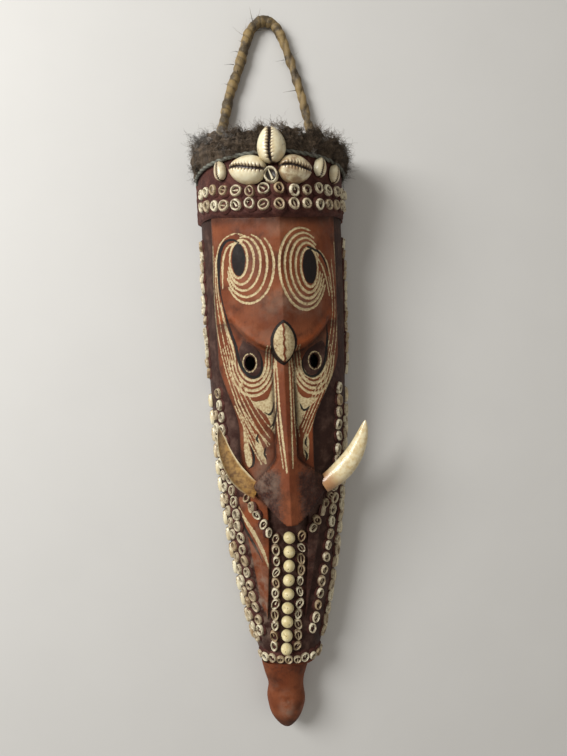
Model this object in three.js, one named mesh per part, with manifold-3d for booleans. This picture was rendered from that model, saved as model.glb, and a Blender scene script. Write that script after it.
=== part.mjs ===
// A carved and painted wooden mask with boar tusks, cowries and cut shells, lying on its hollow back.
// +Y runs to the top of the mask, +X to the right of the face as it is seen, +Z out of the face.
// The origin is on the floor, under the middle of the mask. Lengths are in millimetres.
import * as THREE from "three";
import { mergeVertices } from "three/addons/utils/BufferGeometryUtils.js";
import Module from "manifold-3d";

const wasm = await Module();
wasm.setup();

// Lengths along the mask
const SHIELD_LENGTH = 406; // wood from the collar to the top end
const SNOUT_LENGTH = 56;
const HAIR_RISE = 18; // hair above the wood's top end
const TIP_Y = -(SNOUT_LENGTH + SHIELD_LENGTH + HAIR_RISE) / 2;
const COLLAR_Y = TIP_Y + SNOUT_LENGTH;
const TOP_Y = COLLAR_Y + SHIELD_LENGTH;
const HAIR_TOP_Y = TOP_Y + HAIR_RISE;

// The shield's arch
const HALF_WIDTH = 58;
const TAPER = 0.59; // share of the half width lost at the collar
const TAPER_POWER = 3.6;
const CROWN = 52; // height of the arch at the top end
const CROWN_DROP = 0.46; // share of it lost at the collar
const CROWN_POWER = 2.2;
const ARCH_POWER = 2.8; // squareness of the arch
const SIDE_WALL = 12;
const FRONT_WALL = 12;
const END_WALL = 12;
const CLEARANCE = 0.4; // gap between pieces that touch

// The carved face plate, brow, nose and chin
const PLATE_LEFT = 50;
const PLATE_RIGHT = 46;
const PLATE_LOW_LEFT = 35;
const PLATE_LOW_RIGHT = 22;
const PLATE_RISE = 5;
const BROW_Y = station(0.616);
const BROW_LIFT = 24; // how much higher the brow's edge is at its sides
const BROW_LIFT_REACH = 37;
const BROW_LIFT_POWER = 2.4;
const ROOF_RISE = 13; // the forehead's central ridge above its sides
const NOSE_HALF_WIDTH = 8;
const NOSE_ROOT_RISE = 7;
const NOSE_END_RISE = 24;
const NOSE_SLOPE = 0.45;
const WING_TOP_Y = station(0.425);
const WING_WIDE_Y = station(0.362);
const WING_TIP_Y = station(0.294);
const WING_LEFT = 26;
const WING_RIGHT = 34;
const JAW_RISE = 3;
const JAW_WIDTH = 15;
const JAW_LOW_Y = station(0.1);
const JAW_HIGH_Y = station(0.352);
const EDGE_SLOPE = 1.2; // how far a carved edge runs out as it rises

// Eyes that are cut through, and the carved cowrie on the brow
const EYE_X = 24.5;
const EYE_Y = station(0.598);
const EYE_WIDTH = 8;
const EYE_HEIGHT = 11;
const OVAL_LENGTH = 31;
const OVAL_WIDTH = 18;
const OVAL_Y = station(0.632);
const OVAL_RISE = 6;

// The snout below the collar
const SNOUT_HALF_WIDTH = 15.5;
const SNOUT_HALF_DEPTH = 13.5;
const SNOUT_MIDDLE_Z = 14.5;

// Headband, hair and loop
const BAND_WIDTH = 49;
const BAND_HIGH_Y = TOP_Y - 10;
const BAND_LOW_Y = BAND_HIGH_Y - BAND_WIDTH; // its lower edge in the middle
const BAND_LIFT = 11; // how much higher that edge is at the sides
const BAND_THICKNESS = 3;
const BAND_GROW = CLEARANCE + BAND_THICKNESS;
const SIDE_SHARE = 0.35; // share of the band's thickness that is left at the mask's sides
const SEAT_RISE = 0.3; // the seat cut for the band stands a little proud of the forehead
const HAIR_LOW_Y = TOP_Y - 16;
const HAIR_DIP = 11; // how much lower the hair's top is over the ridge
const HAIR_THICKNESS = 8;
const LOOP_DIAMETER = 8;
const KNOT_RADIUS = 6.5;
const KNOT_SPACE = 3.5; // between a knot and the hollow's side
const LOOP_HOLE_X = HALF_WIDTH - SIDE_WALL - KNOT_SPACE - KNOT_RADIUS;
const LOOP_HOLE_Z = 10;

// Shells, seeds and tusks
const SHELL_LENGTH = 9;
const SHELL_WIDTH = 7;
const SHELL_HEIGHT = 2.8;
const PASTE_HEIGHT = 1.1;
const COWRIE_LENGTH = 28;
const COWRIE_WIDTH = 20.5;
const COWRIE_HEIGHT = 10;
const SEED_RADIUS = 4.6;
const SEED_COUNT = 9;
const TUSK_WIDTH = 19;
const TUSK_THICKNESS = 7;
const TUSK_ROOT_Y = WING_WIDE_Y - 1;

// The rows down each side: their highest and lowest places
const UPPER_ROW = [BAND_LOW_Y - 3, station(0.571)];
const COWRIE_ROW = [station(0.547), COLLAR_Y + 16];
const MIDDLE_ROW = [station(0.512), COLLAR_Y + 18];
const INNER_ROW = [station(0.557), COLLAR_Y + 26];

// Shared finishes
const WOOD = finish(0x8a4630, 0.6);
const PASTE = finish(0x4b2c26, 0.8);
const SHELL = finish(0xd9cfb4, 0.35);
const COWRIE = finish(0xe6ddbf, 0.25);
const SEED = finish(0xcfc79a, 0.4);
const TUSK = finish(0xe2cf9a, 0.3);
const HAIR = finish(0x2f2520, 0.95);
const FIBRE = finish(0x9a8046, 0.75);

function finish(color, roughness) {
  return new THREE.MeshStandardMaterial({ color, roughness, metalness: 0 });
}

// A height on the shield, from 0 at the collar to 1 at the top end.
function station(share) {
  return COLLAR_Y + share * SHIELD_LENGTH;
}

function clamp01(value) {
  return Math.min(1, Math.max(0, value));
}

function smooth(value) {
  const t = clamp01(value);
  return t * t * (3 - 2 * t);
}

function mix(from, to, share) {
  return from + (to - from) * share;
}

function steps(from, to, count) {
  return Array.from({ length: count + 1 }, (_, i) => mix(from, to, i / count));
}

// The shield's plain arch
function fall(y) {
  return clamp01((TOP_Y - y) / SHIELD_LENGTH);
}

function halfWidth(y) {
  return HALF_WIDTH * (1 - TAPER * fall(y) ** TAPER_POWER);
}

function crown(y) {
  return CROWN * (1 - CROWN_DROP * fall(y) ** CROWN_POWER);
}

function arch(x, y) {
  const across = clamp01(Math.abs(x) / halfWidth(y));
  return crown(y) * Math.sqrt(1 - across ** ARCH_POWER);
}

// The carving: each form has an outline in plan and a rise above the arch
function plateHalf(y, side) {
  const high = side < 0 ? PLATE_LEFT : PLATE_RIGHT;
  const low = side < 0 ? PLATE_LOW_LEFT : PLATE_LOW_RIGHT;
  const narrowed = mix(high, low, smooth((station(0.62) - y) / (0.155 * SHIELD_LENGTH)));
  return Math.min(narrowed, 0.86 * halfWidth(y));
}

function browEdge(x) {
  return BROW_Y + BROW_LIFT * clamp01(Math.abs(x) / BROW_LIFT_REACH) ** BROW_LIFT_POWER;
}

function browRise(x, y) {
  return PLATE_RISE + ROOF_RISE * (1 - Math.abs(x) / plateHalf(y, x));
}

// Under the headband the forehead's sides slope out to the rim.
function coverRise(x, y) {
  const plate = plateHalf(y, x);
  if (Math.abs(x) <= plate) return browRise(x, y) + SEAT_RISE;
  const outward = clamp01((halfWidth(y) - Math.abs(x)) / (halfWidth(y) - plate));
  return PLATE_RISE * outward + SEAT_RISE;
}

function bandEdge(x) {
  return BAND_LOW_Y + BAND_LIFT * (x / HALF_WIDTH) ** 2;
}

function wingHalf(y, side) {
  const wide = side < 0 ? WING_LEFT : WING_RIGHT;
  const top = smooth((WING_TOP_Y - y) / (WING_TOP_Y - WING_WIDE_Y));
  const tip = clamp01((y - WING_TIP_Y) / (WING_WIDE_Y - WING_TIP_Y));
  return mix(NOSE_HALF_WIDTH, wide, top) * tip ** 0.7;
}

function noseRise(x, y) {
  const down = clamp01((BROW_Y - y) / (BROW_Y - WING_TIP_Y));
  return mix(NOSE_ROOT_RISE, NOSE_END_RISE, down) - NOSE_SLOPE * Math.abs(x);
}

// The chin's middle leans to the left of the photograph as it goes down.
function chinMiddle(y) {
  return -5 * smooth((WING_TIP_Y - y) / (WING_TIP_Y - COLLAR_Y));
}

function chinHalf(y) {
  return mix(16, 14, fall(y));
}

function jawHalf(y) {
  const up = clamp01((y - JAW_LOW_Y) / (JAW_HIGH_Y - JAW_LOW_Y));
  return chinHalf(y) + mix(1.5, JAW_WIDTH, up);
}

// 0 outside a form and 1 inside it, over the slope of its edge.
function within(distance, slope = EDGE_SLOPE) {
  return smooth(distance / slope);
}

// The carved front at a place in plan: the arch, raised by whichever form is there.
function front(x, y) {
  const plate = within(plateHalf(y, x) - Math.abs(x)) * within(y - WING_WIDE_Y);
  const brow = plate * within(y - browEdge(x), 3);
  const fromChin = Math.abs(x - chinMiddle(y));
  const jawAcross = within(jawHalf(y) - fromChin) * within(fromChin - chinHalf(y));
  const jaw = jawAcross * within(y - JAW_LOW_Y) * within(JAW_HIGH_Y - y);
  const noseAlong = within(y - WING_TIP_Y, 2) * within(BROW_Y + 2 - y, 3);
  const nose = noseAlong * within(wingHalf(y, x) - Math.abs(x));
  let rise = mix(PLATE_RISE * plate, browRise(x, y), brow);
  rise = Math.max(rise, JAW_RISE * jaw);
  rise = mix(rise, noseRise(x, y), nose);
  rise = mix(rise, coverRise(x, y), within(y - bandEdge(x) - 1, 3));
  return arch(x, y) + rise;
}

function cover(x, y) {
  return arch(x, y) + coverRise(x, y);
}

// How far the headband stands out at the mask's sides where it is grown by grow in front.
function thinned(grow) {
  return Math.min(grow, CLEARANCE + SIDE_SHARE * (grow - CLEARANCE));
}

// Turns closed geometries into solids that join and cut, and back.
function solidOf(geometry) {
  const bare = geometry.clone();
  bare.deleteAttribute("normal");
  bare.deleteAttribute("uv");
  const merged = mergeVertices(bare, 1e-4);
  return new wasm.Manifold(
    new wasm.Mesh({
      numProp: 3,
      vertProperties: new Float32Array(merged.attributes.position.array),
      triVerts: new Uint32Array(merged.index.array),
    }),
  );
}

function geometryOf(solid) {
  const { vertProperties, triVerts } = solid.getMesh();
  const geometry = new THREE.BufferGeometry();
  geometry.setAttribute("position", new THREE.BufferAttribute(vertProperties, 3));
  geometry.setIndex(new THREE.BufferAttribute(triVerts, 1));
  geometry.computeVertexNormals();
  return geometry;
}

// Joins rings of equal count into one closed body; each end is a fan round its middle.
function loft(rings) {
  const count = rings[0].length;
  const points = rings.flat();
  const faces = [];
  for (let row = 0; row + 1 < rings.length; row += 1) {
    for (let i = 0; i < count; i += 1) {
      const next = (i + 1) % count;
      const a = row * count + i;
      const b = row * count + next;
      faces.push(a, b, a + count, b, b + count, a + count);
    }
  }
  for (const [row, turn] of [[0, 1], [rings.length - 1, -1]]) {
    const middle = new THREE.Vector3();
    rings[row].forEach((point) => middle.addScaledVector(point, 1 / count));
    const hub = points.push(middle) - 1;
    for (let i = 0; i < count; i += 1) {
      const pair = [row * count + i, row * count + ((i + 1) % count)];
      if (turn > 0) pair.reverse();
      faces.push(hub, ...pair);
    }
  }
  const geometry = new THREE.BufferGeometry().setFromPoints(points);
  geometry.setIndex(faces);
  const volume = signedVolume(points, faces);
  if (volume < 0) geometry.setIndex(faces.reverse());
  return geometry;
}

function signedVolume(points, faces) {
  let sum = 0;
  for (let i = 0; i < faces.length; i += 3) {
    const [a, b, c] = [points[faces[i]], points[faces[i + 1]], points[faces[i + 2]]];
    sum += a.dot(b.clone().cross(c));
  }
  return sum;
}

// How far from the middle a section's two carved edges are: of the nose or the chin's band,
// and of the face plate or the jaw.
function carvedEdges(y, side) {
  const shift = side * chinMiddle(y);
  if (y < WING_TIP_Y) return [chinHalf(y) + shift, jawHalf(y) + shift];
  const inner = Math.max(wingHalf(y, side), 3);
  const outer = y < WING_WIDE_Y ? jawHalf(y) : plateHalf(y, side);
  return [inner, Math.max(outer, inner + 3 * EDGE_SLOPE)];
}

// The places across a section where it has its points: close together at the rim and at carved edges.
function acrossSection(y) {
  const half = (side) => {
    const rim = [1, 0.985, 0.945].map((share) => share * halfWidth(y));
    const [inner, outer] = carvedEdges(y, side);
    const ledge = [outer + 0.2, outer - EDGE_SLOPE];
    const between = [0.33, 0.67].map((share) => mix(outer - EDGE_SLOPE, inner + 0.2, share));
    return [...rim, ...ledge, ...between, inner + 0.2, inner - EDGE_SLOPE, inner * 0.4];
  };
  return [...half(-1).map((x) => -x), 0, ...half(1).reverse()];
}

// A closed body under surface(x, y), grown outward by grow, with its floor at z = floor.
function skin(rows, surface, grow = 0, floor = 0, aside = thinned) {
  const rings = rows.map((y) => {
    const half = halfWidth(y);
    const extra = typeof grow === "function" ? grow(y) : grow;
    return acrossSection(y).map((x, i, all) => {
      const rim = i === 0 || i === all.length - 1;
      const across = (x * (half + aside(extra))) / half;
      return new THREE.Vector3(across, y, rim ? floor : surface(x, y) + extra);
    });
  });
  return solidOf(loft(rings));
}

// The heights of the body's sections, closer together where the carving changes.
function bodyRows() {
  return [
    ...steps(COLLAR_Y, JAW_LOW_Y - 2, 5),
    ...steps(JAW_LOW_Y, WING_TIP_Y, 10),
    ...steps(WING_TIP_Y + 2, WING_TOP_Y, 12),
    ...steps(WING_TOP_Y + 7, BROW_Y - 4, 8),
    ...steps(BROW_Y, BROW_Y + BROW_LIFT + 3, 14),
    ...steps(BROW_Y + BROW_LIFT + 12, BAND_LOW_Y - 3, 6),
    ...steps(BAND_LOW_Y, BAND_LOW_Y + BAND_LIFT + 5, 8),
    ...steps(TOP_Y - END_WALL, TOP_Y, 1),
  ];
}

// A straight prism over an outline in plan, far taller than the mask.
function prism(outline) {
  const shape = new THREE.Shape(outline.map(([x, y]) => new THREE.Vector2(x, y)));
  const geometry = new THREE.ExtrudeGeometry(shape, { depth: 4 * CROWN, bevelEnabled: false });
  return solidOf(geometry.translate(0, 0, -CROWN));
}

// The almond carved on the brow, with a ridge down its middle.
function oval() {
  const rings = steps(-1, 1, 8).map((t) => {
    const half = (OVAL_WIDTH / 2) * Math.sqrt(Math.max(0.01, 1 - t * t * 0.97));
    const y = OVAL_Y + (t * OVAL_LENGTH) / 2;
    const base = arch(0, y) + PLATE_RISE;
    const top = front(0, Math.max(y, BROW_Y + 1)) + OVAL_RISE * Math.sqrt(1 - t * t * 0.9);
    return [
      [-half, base],
      [-half, top - OVAL_RISE * 0.9],
      [-half * 0.6, top - OVAL_RISE * 0.2],
      [0, top],
      [half * 0.6, top - OVAL_RISE * 0.2],
      [half, top - OVAL_RISE * 0.9],
      [half, base],
    ].map(([x, z]) => new THREE.Vector3(x, y, z));
  });
  return solidOf(loft(rings));
}

// The small head below the collar: a neck, a swelling and a blunt tip.
function snout() {
  const sides = 14;
  const rings = steps(-0.03, 1, 16).map((t) => {
    const y = COLLAR_Y - t * SNOUT_LENGTH;
    const neck = 1 - smooth(t / 0.36);
    const swell = 0.93 + 0.07 * smooth((t - 0.36) / 0.18);
    const tip = Math.sqrt(1 - clamp01((t - 0.6) / 0.405) ** 2.2);
    return Array.from({ length: sides }, (_, i) => {
      const angle = (i / sides) * Math.PI * 2;
      const across = SNOUT_HALF_WIDTH * (swell + 0.28 * neck) * tip * Math.cos(angle);
      const up = SNOUT_HALF_DEPTH * (swell + 0.08 * neck) * tip * Math.sin(angle);
      return new THREE.Vector3(chinMiddle(y) + across, y, SNOUT_MIDDLE_Z + up);
    });
  });
  return solidOf(loft(rings));
}

// The hollow behind the face, rounded at both ends.
function hollow() {
  const low = station(0.09);
  const high = TOP_Y - END_WALL;
  const rings = steps(low, high, 26).map((y) => {
    const close = Math.min(1, (y - low) / 30, (high - y) / 14 + 0.8);
    const open = Math.sqrt(1 - (1 - clamp01(close)) ** 2);
    const half = (halfWidth(y) - SIDE_WALL) * Math.max(open, 0.12);
    const top = (crown(y) - FRONT_WALL) * Math.max(open, 0.12);
    const over = steps(-1, 1, 12).map((s) => {
      const across = Math.sin((s * Math.PI) / 2);
      const lift = Math.sqrt(1 - Math.abs(across) ** ARCH_POWER);
      return new THREE.Vector3(half * across, y, top * lift);
    });
    return [...over, new THREE.Vector3(half, y, -5), new THREE.Vector3(-half, y, -5)];
  });
  return solidOf(loft(rings));
}

function eyeHole(side) {
  const hole = new THREE.CylinderGeometry(0.5, 0.5, 4 * CROWN, 16);
  hole.rotateX(Math.PI / 2).scale(EYE_WIDTH, EYE_HEIGHT, 1);
  return solidOf(hole.translate(side * EYE_X, EYE_Y, 0));
}

function loopHole(side) {
  const radius = LOOP_DIAMETER / 2 + CLEARANCE;
  const hole = new THREE.CylinderGeometry(radius, radius, 3 * END_WALL, 12);
  return solidOf(hole.translate(side * LOOP_HOLE_X, TOP_Y - END_WALL / 2, LOOP_HOLE_Z));
}

// A tusk's root, bend and tip: from the middle, above the root and off the floor.
function tuskPoints(left) {
  const root = left ? WING_LEFT - 1.5 : WING_RIGHT - 6;
  const bend = HALF_WIDTH - (left ? 14 : 2);
  const tip = HALF_WIDTH - (left ? 8 : -3);
  if (left) return [[-root, 0, CROWN - 7], [-bend, 20, CROWN - 5], [-tip, 49, CROWN]];
  return [[root, 1, CROWN - 7], [bend, 17, CROWN - 3], [tip, 50, CROWN + 1]];
}

// A split boar tusk: a broad blade that curves up and outward from under the nose wing.
// One face is rounded and the other a little hollow; facing is 1 where the rounded one is outward.
function tusk(side, grow = 0) {
  const left = side < 0;
  const curve = new THREE.QuadraticBezierCurve3(
    ...tuskPoints(left).map(([x, y, z]) => new THREE.Vector3(x, TUSK_ROOT_Y + y, z)),
  );
  const facing = left ? -1 : 1;
  const lean = left ? 0.35 : 0.25;
  const hollow = 0.35;
  const section = [
    [-1, 0], [-0.65, 0.6], [0, 1], [0.65, 0.6],
    [1, 0], [0.5, hollow * 0.7], [0, hollow], [-0.5, hollow * 0.7],
  ];
  const buried = grow ? [-0.03] : [];
  const rings = [...buried, ...steps(0, 1, 10)].map((t) => {
    const middle = curve.getPoint(t);
    const along = curve.getTangent(t);
    const face = new THREE.Vector3(-side * Math.sin(lean), 0, Math.cos(lean));
    face.addScaledVector(along, -face.dot(along)).normalize();
    const across = along.clone().cross(face);
    const size = Math.max(0.05, (1 - clamp01(t) ** 2.4) ** 0.65);
    return section.map(([u, w]) => {
      const wide = u * ((TUSK_WIDTH / 2) * size + grow);
      const high = (w - 0.5) * TUSK_THICKNESS * size + 1.5 * grow * (w > 0.45 ? 1 : -1);
      return middle.clone().addScaledVector(across, wide).addScaledVector(face, facing * high);
    });
  });
  return solidOf(loft(rings));
}

function maskBody() {
  let body = skin(bodyRows(), front).add(oval()).add(snout()).subtract(hollow());
  for (const side of [-1, 1]) {
    body = body.subtract(eyeHole(side)).subtract(loopHole(side));
    body = body.subtract(tusk(side, CLEARANCE));
  }
  return body;
}

// The paste headband over the top of the face, and the hair tied round the top end.
function headband() {
  const reach = HALF_WIDTH + 2 * BAND_GROW;
  const edge = steps(-reach, reach, 12).map((x) => [x, bandEdge(x)]);
  const outline = [[-reach, HAIR_TOP_Y], ...edge, [reach, HAIR_TOP_Y]];
  const outer = skin(steps(BAND_LOW_Y, BAND_HIGH_Y, 6), cover, BAND_GROW);
  const inner = skin(steps(BAND_LOW_Y - 1, BAND_HIGH_Y + 1, 8), cover, CLEARANCE, -1);
  return outer.intersect(prism(outline)).subtract(inner);
}

function hairGrow(y) {
  const t = clamp01((y - HAIR_LOW_Y) / (HAIR_TOP_Y - HAIR_LOW_Y));
  const thickness = HAIR_THICKNESS * (0.45 + 0.55 * Math.sin(Math.PI * (t * 0.8 + 0.12)));
  return CLEARANCE + BAND_GROW + thickness;
}

function hair(obstacles) {
  const reach = HALF_WIDTH + 2 * HAIR_THICKNESS + BAND_GROW;
  const edge = steps(reach, -reach, 14).map((x) => {
    const away = clamp01(Math.abs(x) / HALF_WIDTH);
    return [x, HAIR_TOP_Y - HAIR_DIP * (1 - away ** 2)];
  });
  const low = HAIR_LOW_Y - 1;
  const outline = [[-reach, low], [reach, low], ...edge];
  const outer = skin(steps(HAIR_LOW_Y, HAIR_TOP_Y, 6), cover, hairGrow, 0, (grow) => grow);
  const inner = skin(steps(HAIR_LOW_Y - 1, HAIR_TOP_Y + 1, 8), cover, CLEARANCE + BAND_GROW, -1);
  let tuft = outer.intersect(prism(outline)).subtract(inner);
  obstacles.forEach((solid) => {
    tuft = tuft.subtract(solid);
  });
  return tuft;
}

// A place on the carved front grown by grow, with its outward normal.
function seat(x, y, grow = 0) {
  const d = 0.5;
  const slopeX = (front(x + d, y) - front(x - d, y)) / (2 * d);
  const slopeY = (front(x, y + d) - front(x, y - d)) / (2 * d);
  const normal = new THREE.Vector3(-slopeX, -slopeY, 1).normalize();
  const across = (x * (halfWidth(y) + thinned(grow))) / halfWidth(y);
  const point = new THREE.Vector3(across, y, front(x, y) + grow);
  return { point: point.addScaledVector(normal, CLEARANCE), normal };
}

// Stands a geometry on the surface: its +Z along the normal, its +Y at turn from the mask's length.
function stand(geometry, { point, normal }, turn) {
  const along = new THREE.Vector3(-Math.sin(turn), Math.cos(turn), 0);
  along.addScaledVector(normal, -along.dot(normal)).normalize();
  const across = along.clone().cross(normal);
  const frame = new THREE.Matrix4().makeBasis(across, along, normal).setPosition(point);
  return geometry.clone().applyMatrix4(frame);
}

// A cowrie seen from its slit side: an egg-shaped dome with a groove down its length.
function cowrie(length, width, height) {
  const rows = 7;
  const across = [-1, -0.9, -0.55, -0.1, 0, 0.1, 0.55, 0.9, 1];
  const rings = steps(-1, 1, rows).map((t) => {
    const egg = Math.sqrt(Math.max(0.02, 1 - t * t)) * (1 - 0.12 * t);
    return across.map((s) => {
      const dome = Math.sqrt(Math.max(0, 1 - Math.abs(s) ** 2.4)) * height * Math.sqrt(egg);
      const groove = Math.abs(s) < 0.05 ? height * 0.22 * egg : 0;
      return new THREE.Vector3((s * egg * width) / 2, (t * length) / 2, dome - groove);
    });
  });
  return loft(rings);
}

// A row of cut shells pressed into paste: a ribbon that swells at each shell.
function shellRow(place, count, grow, breadth = SHELL_WIDTH) {
  const seats = seatsAlong(place, 3 * count + 1, grow);
  const rings = seats.map(({ point, normal }, i) => {
    const before = seats[Math.max(i - 1, 0)].point;
    const after = seats[Math.min(i + 1, seats.length - 1)].point;
    const side = after.clone().sub(before).cross(normal).normalize();
    const shell = i % 3 !== 0;
    const half = shell ? breadth / 2 : breadth / 4;
    const height = shell ? SHELL_HEIGHT : PASTE_HEIGHT;
    const section = [[-half, 0], [half, 0], [half * 0.75, height], [-half * 0.75, height]];
    return section.map(([s, h]) =>
      point.clone().addScaledVector(side, s).addScaledVector(normal, h),
    );
  });
  return loft(rings);
}

// Seats evenly spaced along a path in plan that is given by place(share).
function seatsAlong(place, count, grow) {
  const fine = steps(0, 1, 200).map((share) => {
    const [x, y] = place(share);
    return seat(x, y, grow);
  });
  const run = [0];
  for (let i = 1; i < fine.length; i += 1) {
    run.push(run[i - 1] + fine[i].point.distanceTo(fine[i - 1].point));
  }
  const gap = run[run.length - 1] / (count - 1);
  return steps(0, count - 1, count - 1).map((k) => {
    const at = run.findIndex((length) => length >= k * gap - 1e-6);
    return fine[at];
  });
}

function bandRow(above, count) {
  const reach = 0.955 * HALF_WIDTH;
  const place = (share) => {
    const x = mix(-reach, reach, share);
    return [x, bandEdge(x) + above];
  };
  return shellRow(place, count, BAND_GROW, SHELL_LENGTH * 0.8);
}

// A row down one side; from and to are its places across the half width at its top and foot,
// and a bow above 1 keeps it out for longer.
function rimRow(side, [from, to], [high, low], count, bow = 1) {
  const place = (share) => {
    const y = mix(high, low, share);
    return [side * mix(from, to, share ** bow) * halfWidth(y), y];
  };
  return shellRow(place, count, 0);
}

function collarRow() {
  const y = COLLAR_Y + SHELL_LENGTH * 0.8;
  const place = (share) => [mix(-0.93, 0.93, share) * halfWidth(y), y];
  return shellRow(place, 9, 0);
}

function chinRow(side) {
  const place = (share) => {
    const y = mix(WING_TIP_Y - 8, station(0.035), share);
    return [chinMiddle(y) + side * mix(9.8, 8.8, share), y];
  };
  return shellRow(place, 11, 0, SHELL_WIDTH * 0.85);
}

function chinSeeds() {
  return steps(0, SEED_COUNT - 1, SEED_COUNT - 1).map((i) => {
    const y = mix(WING_TIP_Y - 11, station(0.045), i / (SEED_COUNT - 1));
    const { point, normal } = seat(chinMiddle(y), y);
    point.addScaledVector(normal, SEED_RADIUS);
    const seed = new THREE.SphereGeometry(SEED_RADIUS, 8, 5);
    return [`chin_seed_${i + 1}`, seed.translate(...point.toArray()), SEED];
  });
}

// The large cowries on the headband and the smaller ones at their sides.
function crestCowries() {
  const size = [COWRIE_LENGTH, COWRIE_WIDTH, COWRIE_HEIGHT];
  const shorter = [COWRIE_LENGTH * 0.9, COWRIE_WIDTH, COWRIE_HEIGHT];
  const small = size.map((length) => length * 0.52);
  const lay = (x, below, turn, lengths) =>
    stand(cowrie(...lengths), seat(x, TOP_Y - below, BAND_GROW), turn);
  return [
    ["crest_cowrie_top", lay(-3.4, 8, 0.05, shorter), COWRIE],
    ["crest_cowrie_left", lay(-20, 25, 1.45, size), COWRIE],
    ["crest_cowrie_right", lay(11.5, 26, -1.6, shorter), COWRIE],
    ["band_cowrie_left", lay(19 - HALF_WIDTH, 21, 0.2, small), COWRIE],
    ["band_cowrie_right", lay(HALF_WIDTH - 27, 21, -0.2, small), COWRIE],
    ["band_cowrie_far_right", lay(HALF_WIDTH - 15, 22, -0.3, small), COWRIE],
  ];
}

// The hanging loop: out of the holes in the top end, down to the floor and round its apex.
function loopPath() {
  const floor = LOOP_DIAMETER / 2 + 0.2;
  const inside = TOP_Y - END_WALL - 3;
  const route = [
    [-LOOP_HOLE_X, inside, LOOP_HOLE_Z],
    [-LOOP_HOLE_X, TOP_Y + 2, LOOP_HOLE_Z],
    [-LOOP_HOLE_X - 4, TOP_Y + 18, LOOP_HOLE_Z - 1.5],
    [-LOOP_HOLE_X, TOP_Y + 36, floor + 1],
    [-30, 282, floor],
    [-22, 303, floor],
    [-16.5, 320, floor],
    [-11, 334, floor],
    [-2, 342, floor],
    [8, 340, floor],
    [14.5, 330, floor],
    [20, 314, floor],
    [25.5, 296, floor],
    [30.5, 277, floor],
    [LOOP_HOLE_X - 2, TOP_Y + 36, floor + 1],
    [LOOP_HOLE_X + 1.5, TOP_Y + 18, LOOP_HOLE_Z - 1.5],
    [LOOP_HOLE_X, TOP_Y + 2, LOOP_HOLE_Z],
    [LOOP_HOLE_X, inside, LOOP_HOLE_Z],
  ];
  return new THREE.CatmullRomCurve3(route.map((p) => new THREE.Vector3(...p)));
}

function hangingLoop() {
  const section = new THREE.Shape();
  section.absarc(0, 0, LOOP_DIAMETER / 2, 0, Math.PI * 2);
  return new THREE.ExtrudeGeometry(section, {
    steps: 40,
    curveSegments: 5,
    extrudePath: loopPath(),
  });
}

function knot(side) {
  const y = TOP_Y - END_WALL - 3 - KNOT_RADIUS - CLEARANCE;
  const ball = new THREE.SphereGeometry(KNOT_RADIUS, 10, 7);
  return ball.scale(1, 0.95, 0.9).translate(side * LOOP_HOLE_X, y, LOOP_HOLE_Z);
}

const mask = new THREE.Group();

function place(name, shape, material) {
  const geometry = shape.isBufferGeometry ? shape : geometryOf(shape);
  const mesh = new THREE.Mesh(geometry, material);
  mesh.name = name;
  mask.add(mesh);
}

place("mask_body", maskBody(), WOOD);
place("headband", headband(), PASTE);
const cowries = crestCowries();
cowries.forEach((piece) => place(...piece));
place("hair_fringe", hair(cowries.map(([, shape]) => solidOf(shape))), HAIR);
place("hanging_loop", hangingLoop(), FIBRE);
place("loop_knot_left", knot(-1), FIBRE);
place("loop_knot_right", knot(1), FIBRE);
place("tusk_left", tusk(-1), TUSK);
place("tusk_right", tusk(1), TUSK);
place("band_shells_upper", bandRow(SHELL_LENGTH / 2 + 14, 20), SHELL);
place("band_shells_lower", bandRow(SHELL_LENGTH / 2 + 3.5, 20), SHELL);
for (const [name, side, inner] of [["left", -1, [0.87, 0.72, 1]], ["right", 1, [0.8, 0.5, 2.2]]]) {
  place(`rim_shells_${name}_upper`, rimRow(side, [0.985, 0.985], UPPER_ROW, 11), SHELL);
  place(`rim_cowries_${name}`, rimRow(side, [0.992, 0.985], COWRIE_ROW, 15), COWRIE);
  place(`rim_shells_${name}_middle`, rimRow(side, [0.935, 0.87], MIDDLE_ROW, 19), SHELL);
  place(`rim_shells_${name}_inner`, rimRow(side, inner, INNER_ROW, 19, inner[2]), SHELL);
}
place("collar_shells", collarRow(), SHELL);
place("chin_shells_left", chinRow(-1), SHELL);
place("chin_shells_right", chinRow(1), SHELL);
chinSeeds().forEach((piece) => place(...piece));

export default mask;
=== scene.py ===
"""A carved and painted wooden mask with boar tusks, cowries, cut shells, hair and a hanging loop.

The mask lies on its hollow back. +Y runs to its top, +X to the right of the face, +Z out of the face.
Sizes are in millimetres, and become metres where the meshes are made.
"""

import math
import random

import bpy
import numpy as np
from mathutils import Matrix, Vector


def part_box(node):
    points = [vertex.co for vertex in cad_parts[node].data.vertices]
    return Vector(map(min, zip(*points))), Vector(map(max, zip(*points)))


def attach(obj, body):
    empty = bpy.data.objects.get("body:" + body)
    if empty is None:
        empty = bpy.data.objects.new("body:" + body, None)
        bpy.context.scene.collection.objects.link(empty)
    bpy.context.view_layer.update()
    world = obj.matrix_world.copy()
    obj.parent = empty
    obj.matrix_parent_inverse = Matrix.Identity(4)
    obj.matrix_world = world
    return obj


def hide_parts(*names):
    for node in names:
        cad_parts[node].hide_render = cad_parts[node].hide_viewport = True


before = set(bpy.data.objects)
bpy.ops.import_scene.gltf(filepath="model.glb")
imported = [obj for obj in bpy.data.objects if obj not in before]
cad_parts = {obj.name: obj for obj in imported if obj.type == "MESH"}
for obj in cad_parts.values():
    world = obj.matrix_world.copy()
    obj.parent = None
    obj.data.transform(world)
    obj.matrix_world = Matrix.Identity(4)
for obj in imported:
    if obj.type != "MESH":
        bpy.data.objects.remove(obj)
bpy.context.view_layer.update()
rng = np.random.default_rng(7)

MM = 0.001

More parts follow.
